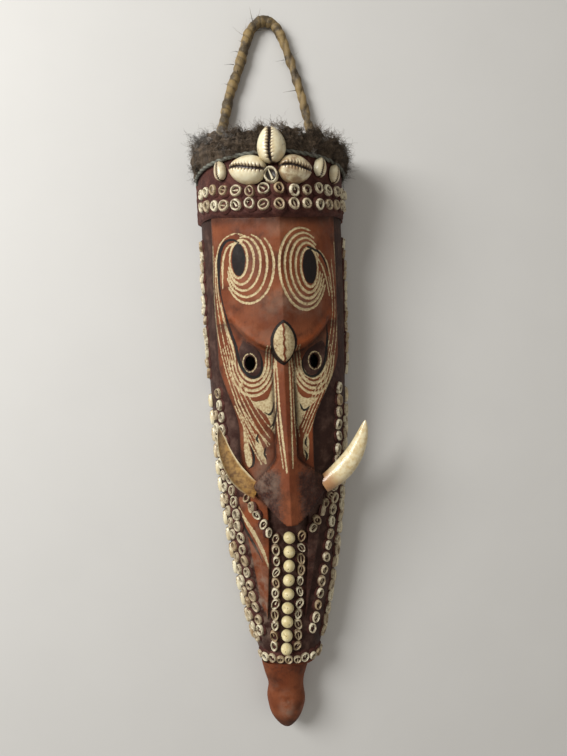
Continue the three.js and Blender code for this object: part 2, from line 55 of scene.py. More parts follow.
# Driving sizes, read from the frame
body_low, body_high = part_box("mask_body")
TIP_Y = body_low.y / MM
TOP_Y = body_high.y / MM
HALF_WIDTH = body_high.x / MM
SHIELD_SHARE = 406 / 462  # of the length from the snout's tip to the top end
SHIELD_LENGTH = SHIELD_SHARE * (TOP_Y - TIP_Y)
COLLAR_Y = TOP_Y - SHIELD_LENGTH
HAIR_TOP_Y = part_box("hair_fringe")[1].y / MM

# The arch and its carving, as in the part's source
TAPER, TAPER_POWER = 0.59, 3.6
CROWN, CROWN_DROP, CROWN_POWER = 52, 0.46, 2.2
ARCH_POWER = 2.8
SIDE_WALL = FRONT_WALL = END_WALL = 12
CLEARANCE = 0.4
PLATE_LEFT, PLATE_RIGHT = 50, 46
PLATE_LOW_LEFT, PLATE_LOW_RIGHT = 35, 22
PLATE_RISE, ROOF_RISE = 5, 13
BROW_LIFT, BROW_LIFT_REACH, BROW_LIFT_POWER = 24, 37, 2.4
NOSE_HALF_WIDTH, WING_LEFT, WING_RIGHT = 8, 26, 34
NOSE_ROOT_RISE, NOSE_END_RISE, NOSE_SLOPE = 7, 24, 0.45
JAW_RISE, JAW_WIDTH = 3, 15
EDGE_SLOPE = 1.2
EYE_X, EYE_WIDTH, EYE_HEIGHT = 24.5, 8, 11
OVAL_LENGTH, OVAL_WIDTH, OVAL_RISE = 31, 18, 6
SNOUT_LENGTH = COLLAR_Y - TIP_Y
SNOUT_HALF_WIDTH, SNOUT_HALF_DEPTH, SNOUT_MIDDLE_Z = 15.5, 13.5, 14.5
BAND_LOW_Y, BAND_HIGH_Y = TOP_Y - 59, TOP_Y - 10
BAND_LIFT, BAND_THICKNESS = 11, 3
BAND_GROW = CLEARANCE + BAND_THICKNESS
SIDE_SHARE = 0.35
SEAT_RISE = 0.3
HAIR_LOW_Y = TOP_Y - 16
HAIR_DIP = 11
HAIR_RADIUS = 0.16
LOOP_DIAMETER, LOOP_HOLE_X, LOOP_HOLE_Z = 8, 36, 10
SHELL_LENGTH, SHELL_WIDTH, SHELL_HEIGHT = 9.0, 7.0, 2.8
COWRIE_SIZE = (28, 20.5, 10)
SEED_RADIUS, SEED_COUNT = 4.6, 9
TUSK_WIDTH, TUSK_THICKNESS = 19, 7

ABOVE_FLOOR = 0.05  # how low the winding and the paste may come

# The painted face: the middles of its eyes, and how far down and up it runs
LEFT_EYE, RIGHT_EYE = (-30.3, 135), (21.9, 128.3)
FACE_LOW_Y, FACE_HIGH_Y = -22, 160
UNPAINTED = 4.0  # the distance that stands for no stroke near


def station(share):
    """A height on the shield, from 0 at the collar to 1 at the top end."""
    return COLLAR_Y + share * SHIELD_LENGTH


BROW_Y, OVAL_Y, EYE_Y = station(0.616), station(0.632), station(0.598)
WING_TOP_Y, WING_WIDE_Y, WING_TIP_Y = station(0.425), station(0.362), station(0.294)
JAW_LOW_Y, JAW_HIGH_Y = station(0.1), station(0.352)


# Numbers and surfaces


def clamp01(value):
    return np.clip(value, 0, 1)


def smooth(value):
    t = clamp01(value)
    return t * t * (3 - 2 * t)


def mix(start, end, share):
    return start + (end - start) * share


def within(distance, slope=EDGE_SLOPE):
    """0 outside a form and 1 inside it, over the slope of its edge."""
    return smooth(distance / slope)


def fall(y):
    return clamp01((TOP_Y - y) / SHIELD_LENGTH)


def half_width(y):
    return HALF_WIDTH * (1 - TAPER * fall(y) ** TAPER_POWER)


def crown(y):
    return CROWN * (1 - CROWN_DROP * fall(y) ** CROWN_POWER)


def arch(x, y):
    across = clamp01(np.abs(x) / half_width(y))
    return crown(y) * np.sqrt(1 - across**ARCH_POWER)


def plate_half(x, y):
    """Half width of the face plate on the side that x is on."""
    high = np.where(x < 0, PLATE_LEFT, PLATE_RIGHT)
    low = np.where(x < 0, PLATE_LOW_LEFT, PLATE_LOW_RIGHT)
    narrowed = mix(high, low, smooth((station(0.62) - y) / (0.155 * SHIELD_LENGTH)))
    return np.minimum(narrowed, 0.86 * half_width(y))


def brow_edge(x):
    return BROW_Y + BROW_LIFT * clamp01(np.abs(x) / BROW_LIFT_REACH) ** BROW_LIFT_POWER


def brow_rise(x, y):
    return PLATE_RISE + ROOF_RISE * (1 - np.abs(x) / plate_half(x, y))


def band_edge(x):
    return BAND_LOW_Y + BAND_LIFT * (x / HALF_WIDTH) ** 2


def cover(x, y):
    """The surface that the headband and the hair lie on."""
    plate = plate_half(x, y)
    outward = clamp01((half_width(y) - np.abs(x)) / (half_width(y) - plate))
    rise = np.where(np.abs(x) <= plate, brow_rise(x, y), PLATE_RISE * outward)
    return arch(x, y) + rise + SEAT_RISE


def thinned(grow):
    """How far the headband stands out at the mask's sides where it is grown by grow in front."""
    return min(grow, CLEARANCE + SIDE_SHARE * (grow - CLEARANCE))


def wing_half(x, y):
    wide = np.where(x < 0, WING_LEFT, WING_RIGHT)
    top = smooth((WING_TOP_Y - y) / (WING_TOP_Y - WING_WIDE_Y))
    tip = clamp01((y - WING_TIP_Y) / (WING_WIDE_Y - WING_TIP_Y))
    return mix(NOSE_HALF_WIDTH, wide, top) * tip**0.7


def nose_rise(x, y):
    down = clamp01((BROW_Y - y) / (BROW_Y - WING_TIP_Y))
    return mix(NOSE_ROOT_RISE, NOSE_END_RISE, down) - NOSE_SLOPE * np.abs(x)


def chin_middle(y):
    return -5 * smooth((WING_TIP_Y - y) / (WING_TIP_Y - COLLAR_Y))


def chin_half(y):
    return mix(16, 14, fall(y))


def jaw_half(y):
    up = clamp01((y - JAW_LOW_Y) / (JAW_HIGH_Y - JAW_LOW_Y))
    return chin_half(y) + mix(1.5, JAW_WIDTH, up)


def jaw_share(x, y):
    """1 on the raised jaw at each side of the chin's middle band."""
    away = np.abs(x - chin_middle(y))
    across = within(jaw_half(y) - away) * within(away - chin_half(y))
    return across * within(y - JAW_LOW_Y) * within(JAW_HIGH_Y - y)


def nose_share(x, y):
    along = within(y - WING_TIP_Y, 2) * within(BROW_Y + 2 - y, 3)
    return along * within(wing_half(x, y) - np.abs(x))


def oval_reach(x, y):
    """0 at the middle of the carved cowrie on the brow, 1 at its almond-shaped edge."""
    return np.abs(2 * x / OVAL_WIDTH) ** 1.3 + np.abs(2 * (y - OVAL_Y) / OVAL_LENGTH) ** 2.1


def plain_front(x, y):
    plate = within(plate_half(x, y) - np.abs(x)) * within(y - WING_WIDE_Y)
    brow = plate * within(y - brow_edge(x), 3)
    rise = mix(PLATE_RISE * plate, brow_rise(x, y), brow)
    rise = np.maximum(rise, JAW_RISE * jaw_share(x, y))
    rise = mix(rise, nose_rise(x, y), nose_share(x, y))
    rise = mix(rise, cover(x, y) - arch(x, y), within(y - band_edge(x) - 1, 3))
    return arch(x, y) + rise


def front(x, y):
    """The carved front, with the almond on the brow."""
    ground = plain_front(x, y)
    reach = oval_reach(x, y)
    ridge = arch(x, BROW_Y) + brow_rise(0 * x, y) - 2.2 * (np.abs(x) / 9) ** 2
    dome = ridge + OVAL_RISE * 0.75 * np.sqrt(clamp01(1 - reach**2)) - 1.2
    inside = within(1 - reach, 0.16)
    return np.where(reach < 1, mix(ground, np.maximum(ground, dome), inside), ground)


def seat(x, y, surface=plain_front, grow=0.0):
    """A point on a surface, in millimetres, and its outward normal."""
    d = 0.6
    slope_x = (surface(x + d, y) - surface(x - d, y)) / (2 * d)
    slope_y = (surface(x, y + d) - surface(x, y - d)) / (2 * d)
    normal = Vector((-float(slope_x), -float(slope_y), 1)).normalized()
    widened = x * (half_width(y) + thinned(grow)) / half_width(y)
    return Vector((float(widened), float(y), float(surface(x, y)) + grow)), normal


# Meshes


def angles_round(count):
    """Angles evenly spaced once round."""
    return np.linspace(0, 2 * math.pi, count, endpoint=False)


def grid_faces(rows, count, closed=True):
    """Faces that join rows of points; closed rows run round, and open ones don't."""
    return [
        (r * count + i, r * count + (i + 1) % count, (r + 1) * count + (i + 1) % count, (r + 1) * count + i)
        for r in range(rows - 1)
        for i in range(count if closed else count - 1)
    ]


def new_object(name, verts_mm, faces):
    """Makes an object from points in millimetres."""
    mesh = bpy.data.meshes.new(name)
    mesh.from_pydata([tuple(c * MM for c in v) for v in verts_mm], [], faces)
    mesh.update()
    made = bpy.data.objects.new(name, mesh)
    bpy.context.scene.collection.objects.link(made)
    return made


def settle(piece, material, nodes=()):
    """Gives a piece its material; it rides on the mask and stands for the given nodes."""
    mesh = piece.data
    mesh.materials.clear()
    mesh.materials.append(material)
    mesh.polygons.foreach_set("material_index", [0] * len(mesh.polygons))
    mesh.shade_smooth()
    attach(piece, "root")
    if nodes:
        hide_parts(*nodes)
    return piece


def set_attribute(piece, name, values):
    layer = piece.data.attributes.new(name, "FLOAT", "POINT")
    layer.data.foreach_set("value", np.asarray(values, float).ravel())


class Builder:
    """Collects parts of one mesh, with a few named values at each point."""

    def __init__(self, *names):
        self.verts, self.faces = [], []
        self.values = {name: [] for name in names}

    def add(self, verts, faces, **values):
        start = len(self.verts)
        self.verts.extend(verts)
        self.faces.extend([tuple(start + i for i in face) for face in faces])
        for name, store in self.values.items():
            given = values.get(name, 0.0)
            store.extend(given if hasattr(given, "__len__") else [given] * len(verts))

    def grid(self, rings, closed=True, **values):
        """Joins rings of points of equal count."""
        faces = grid_faces(len(rings), len(rings[0]), closed)
        self.add([p for ring in rings for p in ring], faces, **values)

    def build(self, name, material, slot, nodes=()):
        piece = settle(new_object(name, self.verts, self.faces), material, nodes)
        for key, store in self.values.items():
            set_attribute(piece, key, store)
        return piece


def curve_through(points, count):
    """Evenly spaced points on a Catmull-Rom curve through the given ones."""
    given = np.array(points, float)
    padded = np.vstack([2 * given[0] - given[1], given, 2 * given[-1] - given[-2]])
    dense = []
    for i in range(1, len(padded) - 2):
        before, start, end, after = padded[i - 1 : i + 3]
        pull = (2 * before - 5 * start + 4 * end - after, 3 * start - before - 3 * end + after)
        for t in np.linspace(0, 1, 24, endpoint=False):
            dense.append(0.5 * (2 * start + (end - before) * t + pull[0] * t * t + pull[1] * t**3))
    dense = np.array([*dense, given[-1]])
    run = np.concatenate([[0], np.cumsum(np.linalg.norm(np.diff(dense, axis=0), axis=1))])
    even = np.linspace(0, run[-1], count)
    return np.stack([np.interp(even, run, dense[:, k]) for k in range(dense.shape[1])], 1)


def frames_along(path):
    """Each point of a path with two steady cross directions."""
    tangents = np.gradient(path, axis=0)
    tangents /= np.linalg.norm(tangents, axis=1)[:, None]
    side = np.cross(tangents[0], [0, 0, 1.0])
    if np.linalg.norm(side) < 0.1:
        side = np.cross(tangents[0], [1.0, 0, 0])
    result = []
    for point, along in zip(path, tangents):
        side = side - along * side.dot(along)
        side /= np.linalg.norm(side)
        result.append((point, side, np.cross(along, side)))
    return result


def round_axis(axis, angle, radius, lowest=-math.inf):
    """A point at an angle and a radius round a place on an axis, and never below the lowest height."""
    point, side, over = axis
    spot = Vector(point + (side * math.cos(angle) + over * math.sin(angle)) * radius)
    spot.z = max(spot.z, lowest)
    return spot


# Materials


class Nodes:
    """A short way to write one material's nodes."""

    def __init__(self, name):
        self.material = bpy.data.materials.new(name)
        self.material.use_nodes = True
        self.tree = self.material.node_tree
        self.shader = self.tree.nodes["Principled BSDF"]
        self.place = self.new("ShaderNodeTexCoord").outputs["Object"]

    def new(self, kind, **settings):
        node = self.tree.nodes.new(kind)
        for key, value in settings.items():
            setattr(node, key, value)
        return node

    def feed(self, socket, value):
        if isinstance(value, bpy.types.NodeSocket):
            self.tree.links.new(value, socket)
        else:
            socket.default_value = (*value, 1) if isinstance(value, tuple) else value

    def attribute(self, name):
        return self.new("ShaderNodeAttribute", attribute_name=name).outputs["Fac"]

    def noise(self, size_mm, detail=4.0, rough=0.55, stretch=(1, 1, 1)):
        """Noise from 0 to 1 whose features are about size_mm wide."""
        mapping = self.new("ShaderNodeMapping")
        self.feed(mapping.inputs["Vector"], self.place)
        mapping.inputs["Scale"].default_value = tuple(1 / (size_mm * MM * s) for s in stretch)
        node = self.new("ShaderNodeTexNoise")
        self.feed(node.inputs["Vector"], mapping.outputs[0])
        node.inputs["Scale"].default_value = 1
        node.inputs["Detail"].default_value = detail
        node.inputs["Roughness"].default_value = rough
        return node.outputs["Fac"]

    def math(self, operation, a, b):
        node = self.new("ShaderNodeMath", operation=operation)
        self.feed(node.inputs[0], a)
        self.feed(node.inputs[1], b)
        return node.outputs[0]

    def plus(self, a, b):
        return self.math("ADD", a, b)

    def minus(self, a, b):
        return self.math("SUBTRACT", a, b)

    def times(self, a, b):
        return self.math("MULTIPLY", a, b)

    def ramp(self, value, low, high, start=0.0, end=1.0):
        """Maps value from low..high to start..end, smoothly and clamped."""
        node = self.new("ShaderNodeMapRange", interpolation_type="SMOOTHSTEP")
        names = ("Value", "From Min", "From Max", "To Min", "To Max")
        for key, number in zip(names, (value, low, high, start, end)):
            self.feed(node.inputs[key], number)
        return node.outputs[0]

    def blend(self, share, a, b):
        """Color a, and color b where share is 1."""
        node = self.new("ShaderNodeMix", data_type="RGBA")
        self.feed(node.inputs["Factor"], share)
        self.feed(node.inputs[6], a)
        self.feed(node.inputs[7], b)
        return node.outputs[2]

    def bump(self, height, distance_mm, strength):
        node = self.new("ShaderNodeBump")
        self.feed(node.inputs["Height"], height)
        node.inputs["Distance"].default_value = distance_mm * MM
        node.inputs["Strength"].default_value = strength
        return node.outputs[0]

    def finish(self, color, roughness, normal=None, **constants):
        self.feed(self.shader.inputs["Base Color"], color)
        self.feed(self.shader.inputs["Roughness"], roughness)
        if normal is not None:
            self.feed(self.shader.inputs["Normal"], normal)
        for key, value in constants.items():
            self.shader.inputs[key.replace("_", " ")].default_value = value
        return self.material


RED = (0.128, 0.032, 0.012)
RED_LIGHT = (0.205, 0.062, 0.025)
RED_DEEP = (0.062, 0.017, 0.009)
PASTE_BROWN = (0.030, 0.011, 0.008)
PASTE_GREY = (0.085, 0.047, 0.036)
CREAM = (0.52, 0.43, 0.255)
CREAM_DULL = (0.33, 0.225, 0.115)
ORANGE = (0.26, 0.062, 0.018)
# Pale grey, for dust and haze and for a painted sheen
DUST_AND_SHEEN = (0.22, 0.155, 0.115)
# Near-black brown, for smoke stains and for painted shade
SMOKE_AND_SHADE = (0.022, 0.009, 0.006)
BLACK = (0.007, 0.008, 0.008)
BARE_WOOD = (0.23, 0.13, 0.07)
BARE_WOOD_DARK = (0.1, 0.055, 0.03)


def painted_wood():
    n = Nodes("painted_wood")
    broad = n.noise(34, 3)
    patchy = n.noise(9, 5, 0.6)
    fine = n.noise(1.6, 4, 0.65)
    grain = n.noise(1.1, 4, 0.6, stretch=(1, 14, 1))
    edge = n.times(n.minus(n.noise(1.7, 4, 0.65), 0.5), 1.6)
    ground = n.blend(n.ramp(broad, 0.32, 0.68), RED, RED_LIGHT)
    ground = n.blend(n.ramp(patchy, 0.55, 0.8, 0, 0.6), ground, RED_DEEP)
    ground = n.blend(n.ramp(grain, 0.56, 0.74, 0, 0.4), ground, RED_DEEP)
    ground = n.blend(n.ramp(fine, 0.7, 0.8, 0, 0.4), ground, CREAM_DULL)
    # Brighter ochre: a painted highlight along the brow's edge, and ochre paint on the left jaw and the
    # snout's worn front
    ground = n.blend(n.times(n.attribute("orange"), n.ramp(patchy, 0.25, 0.6)), ground, ORANGE)
    ground = n.blend(n.ramp(n.noise(16, 5, 0.6), 0.48, 0.7, 0, 0.55), ground, SMOKE_AND_SHADE)
    ground = n.blend(n.ramp(n.noise(2.2, 5, 0.7), 0.6, 0.72, 0, 0.5), ground, SMOKE_AND_SHADE)
    ground = n.blend(n.ramp(n.noise(24, 4, 0.6), 0.5, 0.68, 0, 0.22), ground, DUST_AND_SHEEN)
    paste = n.blend(n.ramp(patchy, 0.4, 0.72), PASTE_BROWN, PASTE_GREY)
    paste = n.blend(n.ramp(fine, 0.6, 0.8, 0, 0.3), paste, PASTE_GREY)
    dark = n.plus(n.attribute("paste"), n.times(edge, 0.35))
    color = n.blend(n.ramp(dark, 0.35, 0.65), ground, paste)
    cream = n.plus(n.attribute("cream"), edge)
    worn = n.ramp(n.noise(4.6, 6, 0.75), 0.56, 0.68, 0, 0.9)
    cream_share = n.times(n.ramp(cream, -0.22, 0.22, 1, 0), n.minus(1.0, worn))
    cream_color = n.blend(n.ramp(fine, 0.4, 0.68), CREAM, CREAM_DULL)
    color = n.blend(cream_share, color, cream_color)
    black = n.plus(n.attribute("black"), n.times(edge, 0.7))
    black_share = n.ramp(black, -0.2, 0.2, 0.96, 0)
    color = n.blend(black_share, color, n.blend(n.ramp(fine, 0.6, 0.8), BLACK, RED_DEEP))
    bare = n.blend(n.ramp(grain, 0.35, 0.7), BARE_WOOD, BARE_WOOD_DARK)
    # Pale dust, and a painted sheen low on the brow
    dust = n.times(n.attribute("dust"), n.ramp(patchy, 0.35, 0.65))
    color = n.blend(dust, color, DUST_AND_SHEEN)
    # Painted shade under the brow and the band, beside the nose and along the plate's edges, and a darker
    # snout tip
    shade_and_dirt_share = n.times(n.attribute("dirt"), n.ramp(n.noise(5, 5, 0.65), 0.2, 0.5))
    color = n.blend(shade_and_dirt_share, color, SMOKE_AND_SHADE)
    color = n.blend(n.attribute("bare"), color, bare)
    rough = n.ramp(patchy, 0.3, 0.7, 0.5, 0.72)
    engraved = n.ramp(n.attribute("cream"), -0.7, 0.5, -0.55, 0)
    height = n.plus(n.times(grain, 0.25), n.plus(n.times(fine, 0.35), engraved))
    height = n.plus(height, n.times(patchy, 0.4))
    return n.finish(color, rough, n.bump(height, 0.55, 0.8), Specular_IOR_Level=0.13)


def dark_paste():
    n = Nodes("dark_paste")
    patchy, fine = n.noise(7, 5, 0.6), n.noise(1.2, 5, 0.7)
    color = n.blend(n.ramp(patchy, 0.35, 0.72), (0.045, 0.013, 0.010), (0.10, 0.034, 0.024))
    color = n.blend(n.ramp(fine, 0.62, 0.8, 0, 0.5), color, PASTE_GREY)
    height = n.plus(n.times(patchy, 1.2), fine)
    rough = n.ramp(fine, 0.3, 0.7, 0.6, 0.85)
    return n.finish(color, rough, n.bump(height, 0.8, 0.8), Specular_IOR_Level=0.2)


def cut_shell_material():
    n = Nodes("cut_shell")
    patchy, fine = n.noise(3.0, 4), n.noise(0.7, 4)
    color = n.blend(n.attribute("tone"), (0.62, 0.56, 0.40), (0.34, 0.24, 0.13))
    color = n.blend(n.ramp(patchy, 0.46, 0.66, 0, 0.85), color, (0.13, 0.07, 0.035))
    dark = n.plus(n.attribute("hollow"), n.times(n.minus(fine, 0.5), 0.5))
    color = n.blend(n.ramp(dark, 0.35, 0.7), color, (0.022, 0.014, 0.012))
    return n.finish(color, n.ramp(fine, 0.3, 0.7, 0.3, 0.5), n.bump(fine, 0.25, 0.5))


def cowrie_material():
    n = Nodes("cowrie")
    patchy, fine = n.noise(8, 4), n.noise(0.9, 4)
    color = n.blend(n.ramp(patchy, 0.35, 0.7), (0.72, 0.66, 0.47), (0.60, 0.49, 0.29))
    near_slit = n.ramp(n.attribute("slit"), 0.02, 0.3, 0, 0.5)
    color = n.blend(near_slit, color, (0.30, 0.16, 0.07))
    stain = n.times(n.attribute("stain"), n.ramp(n.noise(7, 5, 0.6), 0.35, 0.6, 0, 0.8))
    color = n.blend(stain, color, (0.23, 0.12, 0.05))
    # Near black in the slit and between the teeth: painted shade in the opening
    slit = n.plus(n.attribute("slit"), n.times(n.minus(fine, 0.5), 0.25))
    color = n.blend(n.ramp(slit, 0.3, 0.6), color, (0.035, 0.02, 0.014))
    return n.finish(color, 0.28, n.bump(fine, 0.15, 0.4), Coat_Weight=0.25, Coat_Roughness=0.2)


def tusk_material():
    n = Nodes("tusk")
    along, inner = n.attribute("along"), n.attribute("inner")
    streak = n.noise(3.2, 5, 0.6)
    fine = n.noise(0.8, 4)
    color = n.blend(n.ramp(streak, 0.35, 0.7), (0.70, 0.61, 0.40), (0.55, 0.41, 0.20))
    root = n.ramp(n.plus(along, n.times(streak, 0.18)), 0.14, 0.36, 0.85, 0)
    color = n.blend(root, color, (0.34, 0.14, 0.045))
    brown = n.blend(n.ramp(streak, 0.36, 0.7), (0.46, 0.25, 0.065), (0.17, 0.075, 0.022))
    brown = n.blend(n.ramp(along, 0.75, 1.0, 0, 0.8), brown, (0.09, 0.04, 0.018))
    color = n.blend(n.times(inner, 0.92), color, brown)
    crack = n.ramp(n.noise(1.4, 3, 0.5), 0.7, 0.78, 0, 0.5)
    color = n.blend(crack, color, (0.14, 0.07, 0.03))
    rough = n.ramp(fine, 0.3, 0.7, 0.24, 0.42)
    return n.finish(color, rough, n.bump(streak, 0.2, 0.5), Coat_Weight=0.15)


def seed_material():
    n = Nodes("seed")
    patchy, fine = n.noise(4, 4), n.noise(0.8, 5)
    color = n.blend(n.ramp(patchy, 0.35, 0.7), (0.64, 0.56, 0.33), (0.52, 0.42, 0.20))
    color = n.blend(n.ramp(fine, 0.6, 0.78, 0, 0.7), color, (0.22, 0.16, 0.07))
    # Dark in the pierced hole: painted shade inside it
    dark = n.ramp(n.plus(n.attribute("hollow"), n.times(fine, 0.2)), 0.4, 0.7)
    color = n.blend(dark, color, (0.04, 0.025, 0.015))
    return n.finish(color, n.ramp(fine, 0.3, 0.7, 0.3, 0.55), n.bump(fine, 0.2, 0.6))


def hair_material(name, root, tip):
    n = Nodes(name)
    color = n.blend(n.attribute("tone"), root, tip)
    color = n.blend(n.ramp(n.noise(9, 3), 0.4, 0.7, 0, 0.5), color, (0.12, 0.085, 0.055))
    return n.finish(color, 0.75, Specular_IOR_Level=0.25)


def fibre_material():
    n = Nodes("plant_fibre")
    fine = n.noise(0.9, 4, 0.6)
    patchy = n.noise(11, 3)
    thread = n.noise(0.5, 3, 0.6, stretch=(1, 1, 5))
    # A high tone darkens it: painted shade in the loop's grooves, with real patches and random tones
    color = n.blend(n.attribute("tone"), (0.26, 0.175, 0.065), (0.055, 0.034, 0.015))
    color = n.blend(n.ramp(patchy, 0.46, 0.6, 0, 0.85), color, (0.035, 0.023, 0.012))
    color = n.blend(n.ramp(thread, 0.55, 0.72, 0, 0.55), color, (0.42, 0.32, 0.16))
    height = n.plus(fine, n.times(thread, 0.8))
    return n.finish(color, n.ramp(fine, 0.3, 0.7, 0.5, 0.75), n.bump(height, 0.4, 0.8))


def cloth_material():
    n = Nodes("woven_cloth")
    color = n.blend(n.noise(3, 3), (0.10, 0.105, 0.085), (0.2, 0.2, 0.165))
    # Darker where the tone is high: painted shade in the strip's grooves
    color = n.blend(n.attribute("tone"), color, (0.05, 0.05, 0.042))
    return n.finish(color, 0.85, n.bump(n.noise(0.7, 3), 0.3, 0.8))


PAINTED_WOOD = painted_wood()
DARK_PASTE = dark_paste()
CUT_SHELL = cut_shell_material()
COWRIE = cowrie_material()
TUSK = tusk_material()
SEED = seed_material()
DARK_HAIR = hair_material("dark_hair", (0.026, 0.018, 0.012), (0.17, 0.12, 0.08))
PALE_FLUFF = hair_material("pale_fluff", (0.13, 0.12, 0.11), (0.30, 0.28, 0.26))
FIBRE = fibre_material()
CLOTH = cloth_material()


# The camera, at the photograph's angle

FOCAL_PX, IMAGE_HEIGHT_PX = 569, 756
CAMERA_AT = Vector((-42, 52, 478))
CAMERA_AIM = Vector((5, 46, 0))
CAMERA_ROLL = math.radians(-2.4)


def add_camera():
    camera = bpy.data.objects.new("camera", bpy.data.cameras.new("camera"))
    bpy.context.scene.collection.objects.link(camera)
    forward = (CAMERA_AIM - CAMERA_AT).normalized()
    right = forward.cross(Vector((0, 1, 0))).normalized()
    upward = right.cross(forward)
    cosine, sine = math.cos(CAMERA_ROLL), math.sin(CAMERA_ROLL)
    turned_right = right * cosine + upward * sine
    turned_up = upward * cosine - right * sine
    pose = Matrix((turned_right, turned_up, -forward)).transposed().to_4x4()
    pose.translation = CAMERA_AT * MM
    camera.matrix_world = pose
    camera.data.lens = camera.data.sensor_width * FOCAL_PX / IMAGE_HEIGHT_PX
    camera.data.clip_start = 0.01
    bpy.context.scene.camera = camera


add_camera()


# The hanging loop


def loop_route():
    """The route's points, as in the part's source."""
    floor = LOOP_DIAMETER / 2 + 0.2
    x, z = LOOP_HOLE_X, LOOP_HOLE_Z
    inside = TOP_Y - END_WALL - 3
    return [
        (-x, inside, z),
        (-x, TOP_Y + 2, z),
        (-x - 4, TOP_Y + 18, z - 1.5),
        (-x, TOP_Y + 36, floor + 1),
        (-30, 282, floor),
        (-22, 303, floor),
        (-16.5, 320, floor),
        (-11, 334, floor),
        (-2, 342, floor),
        (8, 340, floor),
        (14.5, 330, floor),
        (20, 314, floor),
        (25.5, 296, floor),
        (30.5, 277, floor),
        (x - 2, TOP_Y + 36, floor + 1),
        (x + 1.5, TOP_Y + 18, z - 1.5),
        (x, TOP_Y + 2, z),
        (x, inside, z),
    ]


def wrapped_ring(axis, share, distance, sides):
    """One ring of the loop: strip wound tightly on the left leg, two strands twisted on the right."""
    right_leg = float(smooth((share - 0.52) / 0.1))
    wind = distance / 6.2
    ring, tones = [], []
    for angle in angles_round(sides):
        strip = (wind + angle / (2 * math.pi)) % 1
        wound = 3.3 + 0.8 * math.sqrt(1 - (2 * strip - 1) ** 4) + 0.12 * math.sin(9 * angle + distance)
        strand = abs(math.cos(angle - distance / 4.6))
        twisted = 2.35 + 1.35 * math.sqrt(strand)
        radius = mix(wound, twisted, right_leg)
        lump = 0.3 * math.sin(distance * 0.31) + 0.22 * math.sin(distance * 0.83 + 1)
        ring.append(round_axis(axis, angle, radius + lump, ABOVE_FLOOR))
        # The tone is darker in the grooves between the turns and strands, which is painted shade, and in
        # slow patches
        groove = mix(abs(2 * strip - 1) ** 6, 1 - math.sqrt(strand), right_leg)
        patch = 0.5 + 0.5 * math.sin(distance * 0.21) * math.sin(distance * 0.077 + 0.6)
        tones.append(float(clamp01(0.75 * groove + 0.5 * patch)))
    return ring, tones


def loop_frays(path, count):
    """Loose ends of the wrapping strip that stand off the loop, most of them at its top."""
    frays = Builder("tone")
    for _ in range(count):
        at = int(np.clip(rng.normal(0.5, 0.16), 0.1, 0.9) * (len(path) - 1))
        start = path[at] + rng.normal(0, 1.2, 3)
        along = (path[min(at + 4, len(path) - 1)] - path[at]) * 0.25
        out = rng.normal(0, 1, 3)
        out[2] = abs(out[2]) * 0.6
        out /= np.linalg.norm(out)
        length = rng.uniform(4, 9)
        bend = rng.normal(0, 0.35, 3)
        width = rng.uniform(0.25, 0.8)
        rings = []
        for t in np.linspace(0, 1, 6):
            place = start + along * t * 2 + (out + bend * t) * (2.8 + length * t)
            place[2] = max(place[2], 0.4)
            across = np.cross(out, along + 1e-3)
            across = across / (np.linalg.norm(across) + 1e-6) * width * (1.05 - t)
            lift = np.array([0, 0, 0.15])
            rings.append([Vector(place - across), Vector(place + across), Vector(place + lift)])
        frays.grid(rings, tone=float(rng.uniform(0, 0.9)))
    return frays.build("loop_frays", FIBRE, "plant_fibre")


def tied_end(node):
    """A three-fold knot of cane that fills the box of its node."""
    low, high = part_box(node)
    middle = np.array((low + high) / 2) / MM
    reach = np.array((high - low) / 2) / MM
    cane = 2.3
    t = np.linspace(0, 2 * math.pi, 90)
    core = np.stack([np.sin(t) + 2 * np.sin(2 * t), np.cos(t) - 2 * np.cos(2 * t), -np.sin(3 * t)], 1)
    path = middle + core / np.array([3, 3, 1.4]) * (reach - cane - 0.1)
    knot = Builder("tone")
    rings = [[round_axis(axis, angle, cane) for angle in angles_round(10)] for axis in frames_along(path)]
    knot.grid(rings, tone=0.4)
    knot.build(node + "_tied", FIBRE, "plant_fibre", [node])


def hanging_loop():
    count, sides = 420, 22
    path = curve_through(loop_route(), count)
    length = float(np.linalg.norm(np.diff(path, axis=0), axis=1).sum())
    tube = Builder("tone")
    rings, tones = [], []
    for i, axis in enumerate(frames_along(path)):
        ring, tone = wrapped_ring(axis, i / (count - 1), i * length / (count - 1), sides)
        rings.append(ring)
        tones.extend(tone)
    tube.grid(rings, tone=tones)
    loop = tube.build("wrapped_loop", FIBRE, "plant_fibre", ["hanging_loop"])
    frays = loop_frays(path, 46)
    tied_end("loop_knot_left")
    tied_end("loop_knot_right")


hanging_loop()


# Painted strokes on the wood, as distances in millimetres that are negative inside a stroke


def stroke(points, half_widths, count=36):
    """A hand-drawn line: its points and half widths, evenly spaced."""
    widths = np.atleast_1d(half_widths).astype(float)
    line = curve_through(points, count)
    spread = np.interp(np.linspace(0, 1, count), np.linspace(0, 1, len(widths)), widths)
    return line, spread


def distance_to_strokes(places, strokes, reach=UNPAINTED):
    nearest = np.full(len(places), reach)
    for line, spread in strokes:
        low, high = line.min(0) - reach, line.max(0) + reach
        near = np.flatnonzero(np.all((places > low) & (places < high), axis=1))
        here = places[near]
        best = np.full(len(near), reach)
        for start, end, w0, w1 in zip(line[:-1], line[1:], spread[:-1], spread[1:]):
            step = end - start
            t = clamp01(((here - start) @ step) / (step @ step + 1e-9))
            gap = np.linalg.norm(here - (start + t[:, None] * step), axis=1) - mix(w0, w1, t)
            best = np.minimum(best, gap)
        nearest[near] = np.minimum(nearest[near], best)
    return nearest


